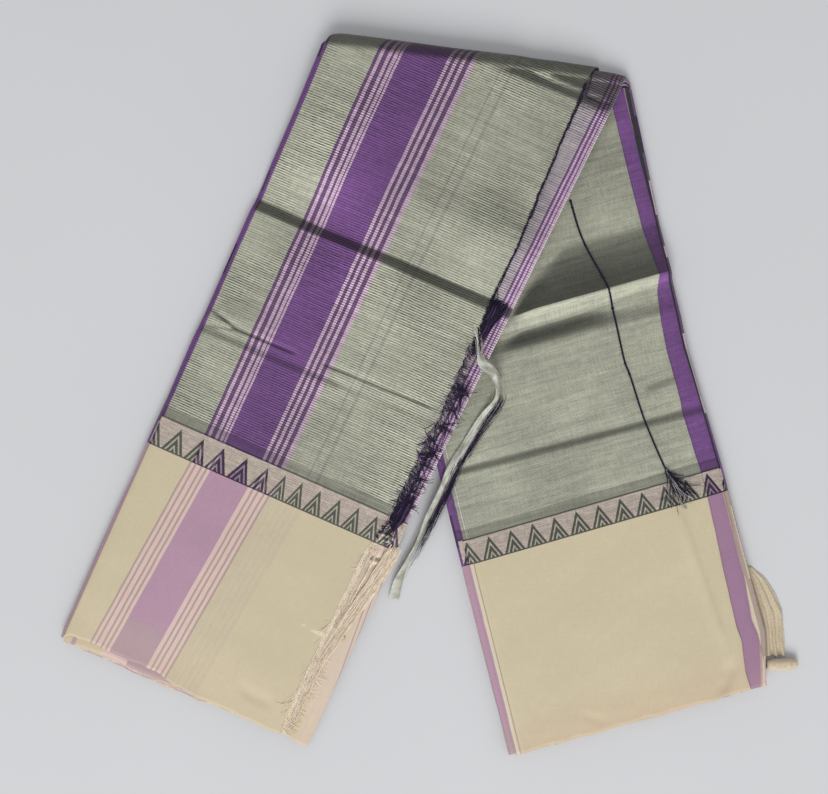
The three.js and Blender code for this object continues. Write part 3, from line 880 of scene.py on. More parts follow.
    def ribs(self, shader: Shader, metric: Socket, down: Socket) -> tuple[Socket, Socket]:
        """The ribs across the cloth, from 0 to 1, and how strong they are there."""
        drift = shader.times(shader.noise(metric, 9, 1), 9.0)
        turns = shader.times(down, 2 * math.pi / self.rib_pitch)
        wave = shader.math("SINE", shader.plus(turns, drift))
        ribs = shader.fit(wave, -1, 1, 0, 1)
        region = shader.fit(shader.noise(metric, 13, 2), 0.38, 0.62, 0.35, 1.0)
        along = shader.times(shader.split(metric)[0], 190.0)
        rib_number = shader.math("DIVIDE", down, self.rib_pitch)
        slub = shader.noise(shader.point(along, rib_number), 1.0, 1)
        return ribs, shader.times(region, shader.vary(slub, 0.45, 1.45))

    def ribbed(self, shader: Shader, colour: Socket, ribs: Socket, contrast: Socket) -> Socket:
        """A colour with the light and dark of the ribs in it."""
        swing = shader.times(contrast, self.rib_contrast)
        centred = shader.minus(ribs, self.rib_middle)
        return shader.shade(colour, shader.plus(1.0, shader.times(centred, swing)))

    def threads(self, shader: Shader, across: Socket, down: Socket) -> Socket:
        """The single threads of warp and weft, too fine to show one by one from afar."""
        weft = shader.drawn_out(across, down, (self.width * 90, 900.0), 1)
        warp = shader.drawn_out(across, down, (self.width * 900, 90.0), 1)
        return shader.times(shader.plus(weft, warp), 0.5)

    def temple_band(
        self, shader: Shader, metric: Socket, count: Socket, down: Socket, dark: Socket
    ) -> Socket:
        """The band of temples, in the dark of the field's warp on a brocaded ground.

        Args:
            shader: The material that it is made in.
            metric: The place on the cloth, in metres.
            count: The number of temples up to there.
            down: How far down the leg that is.
            dark: The field's colour there.

        Returns:
            The band's colour.
        """
        temples = self.temples
        snapped = shader.math("SNAP", down, temples.weft_step)
        side = shader.math("ABSOLUTE", shader.minus(shader.math("FRACT", count), 0.5))
        height = shader.math("DIVIDE", shader.times(snapped, -1.0), temples.height)
        inside = shader.minus(shader.minus(1.0, height), shader.times(side, 2.0))
        rough = shader.minus(shader.noise(metric, 900, 2), 0.5)
        inside = shader.plus(inside, shader.times(rough, temples.roughness))
        ink = shader.shade(dark, temples.strength)
        row = shader.math("FRACT", shader.times(down, 1 / temples.row_step))
        line = shader.below(row, temples.row_share)
        dash = shader.above(shader.drawn_out(count, down, (2.2, 420.0), 1), temples.dash_share)
        woven = shader.times(shader.times(line, dash), temples.dash_strength)
        colour = shader.mix(woven, temples.ground.linear, Yarn.UMBER.linear)
        bright = shader.mix(temples.light_share, temples.light.linear, dark)
        for number, start in enumerate((0.0, *temples.bands)):
            past = shader.above(inside, start)
            colour = shader.mix(past, colour, bright if number % 2 else ink)
        foot = shader.above(down, -temples.foot_line)
        head = shader.below(down, temples.head_line - temples.zone)
        return shader.mix(shader.math("MAXIMUM", foot, head), colour, ink)


@dataclass(frozen=True)
class FoldEdges:
    """The folded edges of the hidden layers, one above another."""

    name: str
    field_yarns: tuple[Yarn, ...]
    border_yarns: tuple[Yarn, ...]

    def material(self) -> bpy.types.Material:
        """Its material: the layer's number and the place along it choose the yarn."""
        shader = Shader(self.name, roughness=0.7, sheen=0.2, specular=0.3)
        layer, _ = shader.read("temples")
        _, down = shader.read("cloth")
        patches = shader.drawn_out(shader.math("FLOOR", layer), down, (7.3, 7.0), 1)
        pick = shader.vary(patches, 0, 1)
        in_field = self.run(shader, pick, self.field_yarns)
        in_border = self.run(shader, pick, self.border_yarns)
        colour = shader.mix(shader.above(down, 0.0), in_field, in_border)
        fine = shader.drawn_out(layer, down, (1.0, 900.0), 2)
        shader.finish(shader.shade(colour, shader.vary(fine, 0.8, 1.15)), fine)
        return shader.material

    def run(self, shader: Shader, pick: Socket, yarns: tuple[Yarn, ...]) -> Socket:
        """One of several yarns, picked by a value from 0 to 1."""
        stops = [(number / len(yarns), yarn) for number, yarn in enumerate(yarns)]
        return shader.bands(pick, stops)


@dataclass(frozen=True)
class LooseThread:
    """The finish of loose threads, each of a colour of its own."""

    name: str
    yarns: tuple[Yarn, ...]
    roughness: float = 0.75

    def material(self) -> bpy.types.Material:
        """Its material, on a random number that each thread carries in its UV map."""
        shader = Shader(self.name, roughness=self.roughness, sheen=0.1, specular=0.12)
        pick, along = shader.read("cloth")
        stops = [(number / (len(self.yarns) - 1), yarn) for number, yarn in enumerate(self.yarns)]
        colour = shader.bands(pick, stops, hard=False)
        ply = shader.noise(shader.point(shader.times(pick, 90.0), along), 1800.0, 1)
        shader.finish(shader.shade(colour, shader.vary(ply, 0.85, 1.15)))
        return shader.material


@dataclass(frozen=True)
class PlainWeave:
    """A plain cloth of two yarns in uneven patches, with a fine check."""

    name: str
    light: Yarn
    dark: Yarn
    check: float = 900.0
    patches: float = 110.0
    darkest: float = 0.75

    def material(self) -> bpy.types.Material:
        """The cloth's material."""
        shader = Shader(self.name, roughness=0.65, sheen=0.2, specular=0.3)
        place = shader.node("ShaderNodeTexCoord").outputs["Object"]
        dark = shader.fit(shader.noise(place, self.patches, 2), 0.4, 0.62, 0, self.darkest)
        colour = shader.mix(dark, self.light.linear, self.dark.linear)
        fine = shader.noise(place, self.check, 2)
        shader.finish(shader.shade(colour, shader.vary(fine, 0.82, 1.12)), fine)
        return shader.material


HEADER_WEAVE = PlainWeave("loose weft weave", Yarn.MIST, Yarn.GREEN_DIM)
CORNER_WEAVE = PlainWeave("cream cloth in pleats", Yarn.CREAM, Yarn.ROSE_CREAM)
HEM_WEAVE = PlainWeave("worn hem", Yarn.BLUSH, Yarn.TAUPE, 700.0)
HEM_WEAVE_PINK = PlainWeave("worn pink hem", Yarn.MAUVE_GREY, Yarn.BLUSH, 700.0)
HEM_WEAVE_CREAM = PlainWeave("worn cream hem", Yarn.CREAM_PALE, Yarn.TAN, 700.0)


@dataclass(frozen=True)
class PaleFloor:
    """The plain pale floor that the saree lies on."""

    name: str = "pale floor"
    dark: tuple[float, ...] = (0.60, 0.605, 0.615, 1)
    light: tuple[float, ...] = (0.635, 0.64, 0.65, 1)

    def material(self) -> bpy.types.Material:
        """Its material, plain but for a faint change from place to place."""
        shader = Shader(self.name, roughness=0.9, sheen=0.0, specular=0.1)
        place = shader.node("ShaderNodeTexCoord").outputs["Object"]
        shader.finish(shader.mix(shader.noise(place, 3), self.dark, self.light))
        return shader.material


@dataclass
class Patch:
    """A grid of points in millimetres, with its two UV maps and a material number."""

    points: Array
    cloth: Array
    temples: Array
    finish: int = 0


def mesh_piece(name: str, patches: Sequence[Patch], finishes: Sequence[Any]) -> Piece:
    """Makes a piece from grids of points.

    Args:
        name: The piece's name.
        patches: The grids, whose touching edges are joined.
        finishes: The finishes that the grids' material numbers choose from.

    Returns:
        The new object, at the origin, in metres.
    """
    points, faces, cloth, temples, numbers = [], [], [], [], []
    base = 0
    for patch in patches:
        rows, columns = patch.points.shape[:2]
        index = base + np.arange(rows * columns).reshape(rows, columns)
        quads = np.stack([index[:-1, :-1], index[1:, :-1], index[1:, 1:], index[:-1, 1:]], axis=-1)
        faces.append(quads.reshape(-1, 4))
        points.append(patch.points.reshape(-1, 3))
        cloth.append(patch.cloth.reshape(-1, 2))
        temples.append(patch.temples.reshape(-1, 2))
        numbers.append(np.full(len(faces[-1]), patch.finish))
        base += rows * columns
    corners = np.concatenate(faces)
    place = np.concatenate(points)
    place[:, :2] -= CENTRE
    mesh = bpy.data.meshes.new(name)
    mesh.from_pydata((place * MM).tolist(), [], corners.tolist())
    for map_name, values in (("cloth", cloth), ("temples", temples)):
        layer = mesh.uv_layers.new(name=map_name)
        layer.data.foreach_set("uv", np.concatenate(values)[corners.ravel()].astype(np.float32).ravel())
    mesh.polygons.foreach_set("material_index", np.concatenate(numbers).astype(np.int32))
    for finish in finishes:
        mesh.materials.append(finish.material())
    if len(patches) > 1:
        shape = bmesh.new()
        shape.from_mesh(mesh)
        bmesh.ops.remove_doubles(shape, verts=shape.verts, dist=SAME_PLACE)
        bmesh.ops.recalc_face_normals(shape, faces=shape.faces)
        shape.to_mesh(mesh)
        shape.free()
    mesh.polygons.foreach_set("use_smooth", np.ones(len(mesh.polygons), bool))
    piece = bpy.data.objects.new(name, mesh)
    bpy.context.collection.objects.link(piece)
    return piece


def apply_modifier(piece: Piece, kind: str, **settings: Any) -> None:
    """Adds a modifier to a piece, sets it and applies it."""
    bpy.ops.object.select_all(action="DESELECT")
    bpy.context.view_layer.objects.active = piece
    piece.select_set(True)
    modifier = piece.modifiers.new(kind.title(), kind)
    for name, value in settings.items():
        setattr(modifier, name, value)
    bpy.ops.object.modifier_apply(modifier=modifier.name)


def thicken(piece: Piece, thickness: float) -> None:
    """Gives a sheet its thickness in millimetres, on the side that its faces turn away from."""
    apply_modifier(piece, "SOLIDIFY", thickness=thickness * MM, offset=-1.0, use_even_offset=False)


# The corners of a thread's three-sided section, in degrees, and the first of them once more.
THREAD_CORNERS = (30, 150, 270, 390)


def strands(
    name: str,
    lines: Sequence[Array],
    radii: Sequence[float],
    finish: LooseThread,
    seed: int,
    tip: float = 0.5,
) -> Piece:
    """Makes one piece of many thin threads.

    Args:
        name: The piece's name.
        lines: The points that each thread follows.
        radii: How thick each thread is at its root, in millimetres.
        finish: Their finish.
        seed: The number that the draw of their colours starts from.
        tip: How thick their tips are, as a share of their roots.

    Returns:
        The new object.
    """
    draw = np.random.default_rng(seed)
    patches = []
    for line, radius in zip(lines, radii):
        _, side, up = axes(line)
        taper = radius * np.linspace(1.0, tip, len(line))[:, None]
        turns = np.radians(THREAD_CORNERS)
        ring = [line + taper * (np.cos(turn) * side + np.sin(turn) * up) for turn in turns]
        points = np.stack(ring, axis=1)
        cloth = np.zeros((*points.shape[:2], 2))
        cloth[..., 0] = float(draw.uniform(0, 1))
        cloth[..., 1] = np.linspace(0, len(line) * MM, len(line))[:, None]
        patches.append(Patch(points, cloth, cloth))
    return mesh_piece(name, patches, [finish])


# Where the temples' points lie across the cloth, as shares of its width.
UPPER_PEAKS = (
    *(-0.075, 0.013, 0.104, 0.192, 0.274, 0.367, 0.451),
    *(0.521, 0.588, 0.661, 0.740, 0.815, 0.889, 0.965),
)
LOWER_PEAKS = tuple(0.038 + 0.0815 * number for number in range(-1, 14))

UPPER_TEMPLES = Temples(zone=0.0268, height=0.0225, strength=0.22)
LOWER_TEMPLES = Temples(zone=0.022, height=0.020, strength=0.18)

UPPER_WEAVE = WovenCloth(
    name="striped cloth with ribs",
    field_front=UPPER_FIELD,
    field_back=UPPER_FIELD_UNDER,
    border_front=UPPER_BORDER,
    border_back=UPPER_BORDER_UNDER,
    temples=UPPER_TEMPLES,
    rib_contrast=1.35,
    stripe_shift=0.063,
)
LOWER_WEAVE = WovenCloth(
    name="plain green cloth",
    field_front=LOWER_FIELD,
    border_front=LOWER_BORDER,
    temples=LOWER_TEMPLES,
    rib_contrast=0.10,
    rib_pitch=0.0011,
    # Deeper painted shade where creases turn the cloth away from the light.
    crease_painted_shade=8.5,
    darkest=0.16,
    # A painted shadow near the turn.
    painted_turn_shadow=0.66,
    stain=0.6,
)
SECOND_WEAVE = WovenCloth(
    name="cloth with a purple band",
    field_front=SECOND_FIELD,
    border_front=SECOND_BORDER,
    temples=LOWER_TEMPLES,
    rib_contrast=0.12,
    rib_pitch=0.0013,
)
STACK_WEAVE = WovenCloth(
    name="cloth of the hidden layers",
    field_front=STACK_FIELD,
    border_front=STACK_BORDER,
    temples=LOWER_TEMPLES,
    rib_contrast=0.12,
    rib_pitch=0.0013,
)
LEFT_FOLDS = FoldEdges(
    name="folds at the left",
    field_yarns=(Yarn.PURPLE, Yarn.PURPLE_DARK, Yarn.PURPLE, Yarn.PLUM, Yarn.PURPLE),
    border_yarns=(Yarn.MAUVE, Yarn.MAUVE_GREY, Yarn.MAUVE),
)
RIGHT_FOLDS = FoldEdges(
    name="folds at the right",
    field_yarns=(Yarn.PURPLE, Yarn.GREY_MAUVE, Yarn.PINK, Yarn.PLUM, Yarn.PURPLE, Yarn.PURPLE_DARK),
    border_yarns=(Yarn.BLUSH, Yarn.CREAM, Yarn.TAUPE, Yarn.CREAM_PALE, Yarn.CREAM, Yarn.MAUVE_GREY),
)
HEM_ENDS = FoldEdges(
    name="layers at the hem",
    field_yarns=(Yarn.CREAM, Yarn.BLUSH),
    border_yarns=(Yarn.CREAM, Yarn.BLUSH, Yarn.CREAM_DUSK, Yarn.TAUPE, Yarn.CREAM_PALE),
)
DARK_THREADS = LooseThread(
    name="dark warp threads",
    yarns=(Yarn.NAVY, Yarn.VIOLET, Yarn.NAVY, Yarn.NAVY, Yarn.BOTTLE, Yarn.NAVY, Yarn.PLUM),
)
CREAM_THREADS = LooseThread(
    name="cream warp threads",
    yarns=(Yarn.FLEECE, Yarn.FLEECE_TAN, Yarn.FLEECE),
)
LILAC_THREADS = LooseThread(
    name="lilac warp threads",
    yarns=(Yarn.LILAC, Yarn.PLUM, Yarn.PINK, Yarn.GREY_MAUVE, Yarn.LILAC),
)
TUFT_THREADS = LooseThread(
    name="threads of the tuft",
    yarns=(Yarn.NAVY, Yarn.NAVY, Yarn.NAVY, Yarn.BOTTLE, Yarn.WHITE),
)
PALE_THREADS = LooseThread(
    name="pale green threads",
    yarns=(Yarn.GREEN, Yarn.CREAM_PALE, Yarn.GREEN_DIM, Yarn.WHITE),
)


def ragged(seed: int, amount: float, pitch: float) -> Callable[[Array], Array]:
    """How far a cut edge strays from its line, in two sizes of wave."""
    slow, quick = Wander(seed, pitch), Wander(seed + 1, pitch / 4)
    return lambda run: amount * (0.7 * slow(run) + 0.3 * quick(run))


def spaced(start: float, end: float, step: float, fine: Sequence[Pair] = ()) -> Array:
    """Numbers from a start down to an end, closer together in some stretches.

    Args:
        start: The largest number.
        end: The smallest number.
        step: The distance between two of them.
        fine: The stretches where they are twice as close.

    Returns:
        The numbers, from the largest to the smallest.
    """
    count = int(round((start - end) / step))
    numbers = list(np.linspace(start, end, count + 1))
    for first, last in fine:
        numbers += [(a + b) / 2 for a, b in zip(numbers, numbers[1:]) if first < (a + b) / 2 < last]
        numbers.sort(reverse=True)
    return np.array(numbers)


class Side(Enum):
    """The side of a leg that a fold faces."""

    LEFT = -1.0
    RIGHT = 1.0


def round_nose(count: int, centre: float, radius: float, side: Side) -> tuple[Array, Array]:
    """The half circle where a sheet folds under.

    Args:
        count: How many points there are.
        centre: How deep its middle lies.
        radius: Its radius.
        side: The side that it faces.

    Returns:
        How far to the right of its middle the points lie, and how deep.
    """
    turned = np.radians(np.linspace(90, -90, count))
    return side.value * radius * np.cos(turned), centre - radius * np.sin(turned)


@dataclass
class Ply:
    """Sections through a sheet on a leg: each point's inset, depth and place across the cloth."""

    inset: Array
    depth: Array
    share: Array


def joined(plies: Sequence[Ply]) -> Ply:
    """Several stretches of a section, one after another."""
    stretches = zip(*((ply.inset, ply.depth, ply.share) for ply in plies))
    return Ply(*(np.concatenate(parts, axis=1) for parts in stretches))


def temple_map(share: Array, peaks: Sequence[float]) -> Array:
    """The temples' count at some places across the cloth: one more at each peak."""
    counts = np.arange(len(peaks)) - 0.5
    ends = (peaks[0] - 1.0, *peaks, peaks[-1] + 1.0)
    beyond = 1.0 / (peaks[1] - peaks[0])
    return np.interp(np.abs(share), ends, (counts[0] - beyond, *counts, counts[-1] + beyond))


STEEPEST = 0.6


def tilts(points: Array) -> Array:
    """How steeply a sheet's points rise from row to row, towards the turn and down again."""
    rise = np.gradient(points[..., 2], axis=0)
    run = np.gradient(points[..., 1], axis=0)
    return np.clip(rise / np.maximum(np.abs(run), 1e-3), -STEEPEST, STEEPEST)


def maps(
    share: Array, down: Array, peaks: Sequence[float], tilt: Array | float = 0.0
) -> tuple[Array, Array]:
    """The two UV maps of a sheet.

    Args:
        share: How far across the cloth each point lies, as a share of its width.
        down: How far below the border's start each point lies, in millimetres.
        peaks: Where the temples' peaks lie across the cloth.
        tilt: How steeply the cloth rises towards the turn.

    Returns:
        The map of the cloth, in shares and metres, and that of the temples and the tilt, from which the
        cloth's material paints shade and highlight.
    """
    cloth = np.stack([share, down * MM], axis=-1)
    temples = np.stack([temple_map(share, peaks), down * 0 + tilt], axis=-1)
    return cloth, temples


CUT_EDGE = ragged(3, 1.0, 14.0)


@dataclass
class UpperTopCloth:
    """The cloth on top of the upper leg: from its cut edge over the left fold and back below."""

    sheet: float = 0.7
    inset: float = 3.5
    fold: float = 1.2
    second_depth: float = 2.0
    return_width: float = 3.0
    columns: int = 88
    crowding: float = 0.012
    second_inset: float = 0.9
    second_droop: float = 0.5
    second_reach: float = 4.5
    row_step: float = 2.7
    trimmed_from: float = 540.0
    turn_rows: int = 25
    last_angle: float = -72.0
    skew: float = 17.0
    tongues: tuple[tuple[float, float, float], ...] = ((404.0, 14.0, 9.0), (497.0, 16.0, 5.0))
    peeps: Pairs = ((380.0, 0.0), (430.0, 3.5), (594.0, 7.5))
    threads: tuple[str, ...] = (
        "frayed_edge_dark",
        "frayed_edge_pale",
        "frayed_edge_cream",
        "header_ribbon",
        "dark_thread_bundle",
        "pale_thread_bundle",
    )
    trims: Pairs = (
        *((0.0, 3.0), (0.06, 8.0), (0.4, 8.0)),
        *((0.47, 3.0), (0.52, 1.0), (0.93, 0.0), (1.0, -3.0)),
    )
    crumple: Pair = (401.0, 13.0)
    fine: Pairs = ((180, 200), (286, 312), (400, 430), (485, 507))

    def section(self, stations: Stations) -> Ply:
        """The section through both plies at some stations, from the cut edge to the return."""
        width, shown = stations.width[:, None], stations.shown[:, None]
        edge = width - shown + CUT_EDGE(stations.travel)[:, None]
        for travel, length, half_width in self.tongues:
            edge = edge + length * np.exp(-(((stations.travel - travel) / half_width) ** 2))[:, None]
        peep = np.interp(stations.travel, *zip(*self.peeps))[:, None]
        along = np.linspace(0, 1, self.columns)[None, :]
        along = along + self.crowding * np.sin(2 * np.pi * along)
        start = self.inset + self.fold
        top = edge + (start - edge) * along
        plies = [Ply(top, top * 0, top / width)]
        out, depth = round_nose(7, self.fold, self.fold, Side.LEFT)
        rows = np.ones((len(stations.travel), 1))
        nose = rows * (start + out[1:-1])[None, :]
        plies.append(Ply(nose, rows * depth[None, 1:-1], np.abs(nose / width)))
        turn_in = width + peep - self.second_inset
        places = np.concatenate([np.linspace(0, 0.9, 16)[:-1], np.linspace(0.9, 1, 13)])[None, :]
        back = start + (turn_in - start) * places
        deep = 2 * self.fold + (self.second_depth - 2 * self.fold) * places
        deep = deep + self.second_droop * np.maximum(back - width, 0)
        plies.append(Ply(back, deep, -back / (width + peep)))
        out, depth = round_nose(5, self.second_depth + 0.1, 0.1, Side.RIGHT)
        under = turn_in + out[None, 1:]
        sunk = self.second_droop * np.maximum(turn_in - width, 0)
        plies.append(Ply(under, depth[None, 1:] + sunk, -np.ones_like(under) * 0.999))
        hidden = turn_in - self.return_width * np.linspace(0.3, 1, 3)[None, :]
        level = self.second_depth + 0.2 + sunk + 0 * hidden
        plies.append(Ply(hidden, level, -hidden / (width + peep)))
        return joined(plies)

    def build(self) -> Piece:
        """Builds the sheet, from the hem up the leg and round the turn."""
        travel = spaced(UPPER_HEM, UPPER_TURN, self.row_step, self.fine)
        stations = UPPER_LEG.stations(travel)
        ply = self.section(stations)
        points, height = UPPER_LEG.top(stations, ply.inset)
        on_top = smoothstep(ply.share, 0, 0.03)
        places, trims = zip(*self.trims)
        trim = np.interp(ply.share, places, trims) * on_top
        trim = trim + on_top * 1.2 * Wander(8, 9)(ply.share * STRIP_WIDTH)
        near_hem = smoothstep(travel, self.trimmed_from, UPPER_HEM)[:, None]
        uneven = 1.6 + 1.4 * Wander(9, 14)(ply.share * STRIP_WIDTH)
        under = smoothstep(-ply.share, 0.02, 0.05) * uneven
        under = under - self.second_reach * smoothstep(-ply.share, 0.85, 1.0)
        points = points - ((trim + under) * near_hem)[..., None] * stations.down[:, None, :]
        height = height + self.slack(points, ply, travel)
        laid = lifted(points, height - ply.depth)
        down = UPPER_LEG.run_down(points)
        angles = np.linspace(90, self.last_angle, self.turn_rows)[1:]
        parts = (ply.inset, ply.depth, ply.share, height)
        inset, depth, side, level = (np.repeat(part[-1:], len(angles), axis=0) for part in parts)
        turned = TURN.rings(angles, inset / stations.width[-1], depth, level)
        steps = np.linalg.norm(np.diff(np.concatenate([laid[-1:], turned]), axis=0), axis=2)
        wrapped = down[-1] - np.cumsum(steps, axis=0) * math.cos(math.radians(self.skew))
        share = np.concatenate([ply.share, side])
        points = np.concatenate([laid, turned])
        cloth, temples = maps(share, np.concatenate([down, wrapped]), UPPER_PEAKS, tilts(points))
        patch = Patch(points, cloth, temples)
        piece = mesh_piece("upper_top_cloth", [patch], [UPPER_WEAVE])
        thicken(piece, self.sheet)
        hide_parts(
            "upper_leg_field",
            "upper_leg_temple_band",
            "upper_leg_border",
            "upper_leg_second_field",
            "upper_leg_second_border",
        )
        return piece

    def slack(self, points: Array, ply: Ply, travel: Array) -> Array:
        """How far the loose top ply stands off the layers below it, near its cut edge."""
        near_edge = smoothstep(ply.share, 0.86, 0.93)
        wave = 0.5 + 0.5 * Wander(21, 17)(travel)[:, None]
        long = 0.35 * Wander(23, 60)(travel)[:, None] * smoothstep(ply.share, 0.0, 0.1)
        place, spread = self.crumple
        crumpled = np.exp(-(((travel - place) / spread) ** 2))[:, None]
        crumpled = smoothstep(ply.share, 0.9, 0.95) * crumpled
        ripple = 0.6 + 0.6 * np.sin(travel * 1.5)[:, None] + 0.5 * np.sin(points[..., 0] * 0.9)
        return near_edge * wave * 0.7 + long + crumpled * np.maximum(ripple, 0)


class RightEdge(Enum):
    """The column of a leg's rows that says how far in a sheet's right edge lies."""

    OF_TOP = "shown"
    OF_SECOND = "under"


@dataclass
class LowerCloth:
    """A sheet that lies on the lower leg, with both its edges folded under."""

    name: str
    weave: WovenCloth
    left: float
    right: RightEdge
    depth: float
    fold: float
    replaced: tuple[str, ...]
    slot: str
    rests_on: str
    threads: tuple[str, ...] = ()
    sheet: float = 0.6
    row_step: float = 2.9
    columns: int = 84
    return_width: float = 5.0
    worn_from: float = 560.0
    fine: Pairs = ((212, 255), (322, 344))

    def section(self, stations: Stations) -> Ply:
        """The section through the sheet at some stations, from right to left."""
        width = stations.width[:, None]
        rows = np.ones((len(stations.travel), 1))
        start = self.left + self.fold
        end = width - getattr(stations, self.right.value)[:, None] - self.fold
        end = end + ragged(31, 0.4, 40.0)(stations.travel)[:, None]
        middle, below = self.depth + self.fold, self.depth + 2 * self.fold
        out, depth = round_nose(6, middle, self.fold, Side.RIGHT)
        back = np.linspace(self.return_width, 0, 3)[None, :]
        stretches = [(end - back, below), (end + out[None, -2:0:-1], depth[None, -2:0:-1])]
        flat = end + (start - end) * np.linspace(0, 1, self.columns)[None, :]
        out, depth = round_nose(6, middle, self.fold, Side.LEFT)
        stretches += [(flat, self.depth), (rows * (start + out[None, 1:-1]), depth[None, 1:-1])]
        back = np.linspace(0, self.return_width, 3)[None, :]
        stretches.append((start + back * rows, below))
        return joined([Ply(inset, deep + 0 * inset, inset / width) for inset, deep in stretches])

    def build(self) -> Piece:
        """Builds the sheet from the hem to the turn."""
        travel = spaced(LOWER_HEM, LOWER_TURN, self.row_step, self.fine)
        stations = LOWER_LEG.stations(travel)
        ply = self.section(stations)
        points, height = LOWER_LEG.top(stations, ply.inset)
        near_hem = smoothstep(travel, self.worn_from, LOWER_HEM)[:, None, None]
        uneven = (1.5 + 1.0 * Wander(44, 12)(ply.inset))[..., None]
        points = points - uneven * (near_hem * stations.down[:, None, :])
        laid = lifted(points, height - ply.depth)
        down = LOWER_LEG.run_down(points)
        cloth, temples = maps(ply.share, down, LOWER_PEAKS, tilts(laid))
        piece = mesh_piece(self.name, [Patch(laid, cloth, temples)], [self.weave])
        thicken(piece, self.sheet)
        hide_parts(*self.replaced)
        return piece


@dataclass
class FoldedLayers:
    """The hidden layers of the strip as one rounded solid, with their folds at its edges."""

    layers: int = 11
    segments: int = 4
    columns: int = 15
    deepest: float = 2.3
    cover: float = 2.8
    row_step: float = 5.0
    hem_reach: float = 2.0
    turn_rows: int = 22
    turn_angle: float = 84.0
    tucked: float = 9.2
    lowest: float = 170.0
    nose: tuple[float, ...] = (0.0, 0.8, 1.0, 0.8)
    fine_upper: Pairs = ((180, 200), (286, 312))
    fine_lower: Pairs = ((212, 255),)
    seed: int = 50

    def noses(self, run: Array, seed: int) -> Array:
        """How far each level of a side lies inside the outline, for each place along it."""
        count = self.layers * self.segments + 1
        levels = np.arange(count)
        profile = np.array(self.nose)[levels % self.segments]
        inside = np.zeros((len(run), count))
        for layer in range(self.layers):
            wander = Wander(seed + layer, 46.0)
            own = 0.75 + 0.75 * wander(run + 31 * layer)
            inside[:, layer * self.segments : (layer + 1) * self.segments] = own[:, None]
        return self.deepest - (self.deepest - inside) * profile[None, :]

    def block(self) -> tuple[Callable[[Array, Array, Array], Array], Array, Array]:
        """The solid as a function of its row, its level and the share across it.

        Returns:
            A function that gives the points of some rows, at levels and shares; the place of
            each row along the strip; and how far below its border each row lies.
        """
        upper_hem, lower_hem = UPPER_HEM - self.hem_reach, LOWER_HEM - self.hem_reach
        upper = spaced(upper_hem, UPPER_TURN, self.row_step, self.fine_upper)
        lower = spaced(lower_hem, LOWER_TURN, self.row_step, self.fine_lower)[::-1]
        angles = np.linspace(self.turn_angle, -self.turn_angle, self.turn_rows)
        up, low = UPPER_LEG.stations(upper), LOWER_LEG.stations(lower)
        count = len(upper) + len(angles) + len(lower)
        run = np.arange(count) * self.row_step
        left, right = self.noses(run, self.seed), self.noses(run, self.seed + 20)
        turn_width = up.width[-1]

        def points(level: Array, share: Array) -> Array:
            """The points of each row at some levels and shares."""
            number = (level * self.layers * self.segments).round().astype(int)
            width = np.concatenate([up.width, np.full(len(angles), turn_width), low.width])[:, None]
            inset = left[:, number] * (1 - share) + (width - right[:, number]) * share
            first, last = len(upper), len(upper) + len(angles)
            ground, height = UPPER_LEG.top(up, inset[:first])
            bottom = UPPER_LEG.underside(ground)
            rise = (height - self.cover) * (1 - level) + bottom * level
            made = [lifted(ground, rise)]
            top = np.repeat(height[-1:], len(angles), axis=0)
            tuck = 1 - smoothstep(-angles, 60, 90)[:, None]
            thick = THICKNESS + (self.tucked - THICKNESS) * smoothstep(-angles, -90, 90)[:, None]
            depth = self.cover * tuck + (thick - self.cover * tuck) * level
            made.append(TURN.rings(angles, inset[first:last] / turn_width, depth, top))
            ground, height = LOWER_LEG.top(low, inset[last:])
            rise = (height - self.cover) * level
            made.append(lifted(ground, rise))
            return np.concatenate(made)

        middle = points(np.array([0.5]), np.array([[0.5]]))[:, 0, :2]
        down = np.minimum(UPPER_LEG.run_down(middle), self.lowest)
        in_lower = np.arange(count) >= len(upper) + len(angles) // 2
        down = np.where(in_lower, LOWER_LEG.run_down(middle), down)
        return points, run, down

    def build(self) -> Piece:
        """Builds the solid from its outer and inner faces, its two sides and its two ends."""
        points, run, down = self.block()
        levels = np.linspace(0, 1, self.layers * self.segments + 1)
        shares = np.linspace(0, 1, self.columns)
        patches = []
        across = np.ones(len(run))[:, None] * shares
        cloth, temples = maps(across, down[:, None] + 0 * shares, LOWER_PEAKS)
        for level in (0.0, 1.0):
            grid = points(np.full(self.columns, level), shares[None, :])
            patches.append(Patch(grid, cloth, temples, 0))
        for share in (0.0, 1.0):
            grid = points(levels, np.full((1, len(levels)), share))
            zero = grid[..., 0] * 0
            cloth = np.stack([zero + share, zero + down[:, None] * MM], axis=-1)
            layer = zero + levels * self.layers + (1 - share) * 20
            patches.append(Patch(grid, cloth, np.stack([layer, layer], axis=-1), 1 + int(share)))
        ends = (
            (0, UPPER_LEG.stations(np.array([UPPER_HEM - self.hem_reach])), self.seed + 40),
            (-1, LOWER_LEG.stations(np.array([LOWER_HEM - self.hem_reach])), self.seed + 60),
        )
        for row, station, seed in ends:
            sections = [points(levels, np.full((1, len(levels)), share))[row] for share in shares]
            grid = np.stack(sections, 1)
            inside = self.noses(shares * STRIP_WIDTH, seed).T
            reach = (self.deepest - inside) / self.deepest * self.hem_reach
            reach = reach * np.minimum(1, 8 * np.minimum(shares, 1 - shares))[None, :]
            grid[..., :2] += reach[..., None] * station.down[0]
            across = grid[..., 0] * 0 + shares[None, :]
            cloth = np.stack([across, 0.18 + across * 0.5], axis=-1)
            layer = grid[..., 0] * 0 + levels[:, None] * self.layers + 40 * (row + 2)
            patches.append(Patch(grid, cloth, np.stack([layer, layer], axis=-1), 3))
        piece = mesh_piece("folded_layers", patches, [STACK_WEAVE, LEFT_FOLDS, RIGHT_FOLDS, HEM_ENDS])
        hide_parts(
            "lower_leg_stack",
            "lower_leg_stack_border",
            "upper_leg_stack",
            "upper_leg_stack_border",
            "turn_over",
        )
        return piece


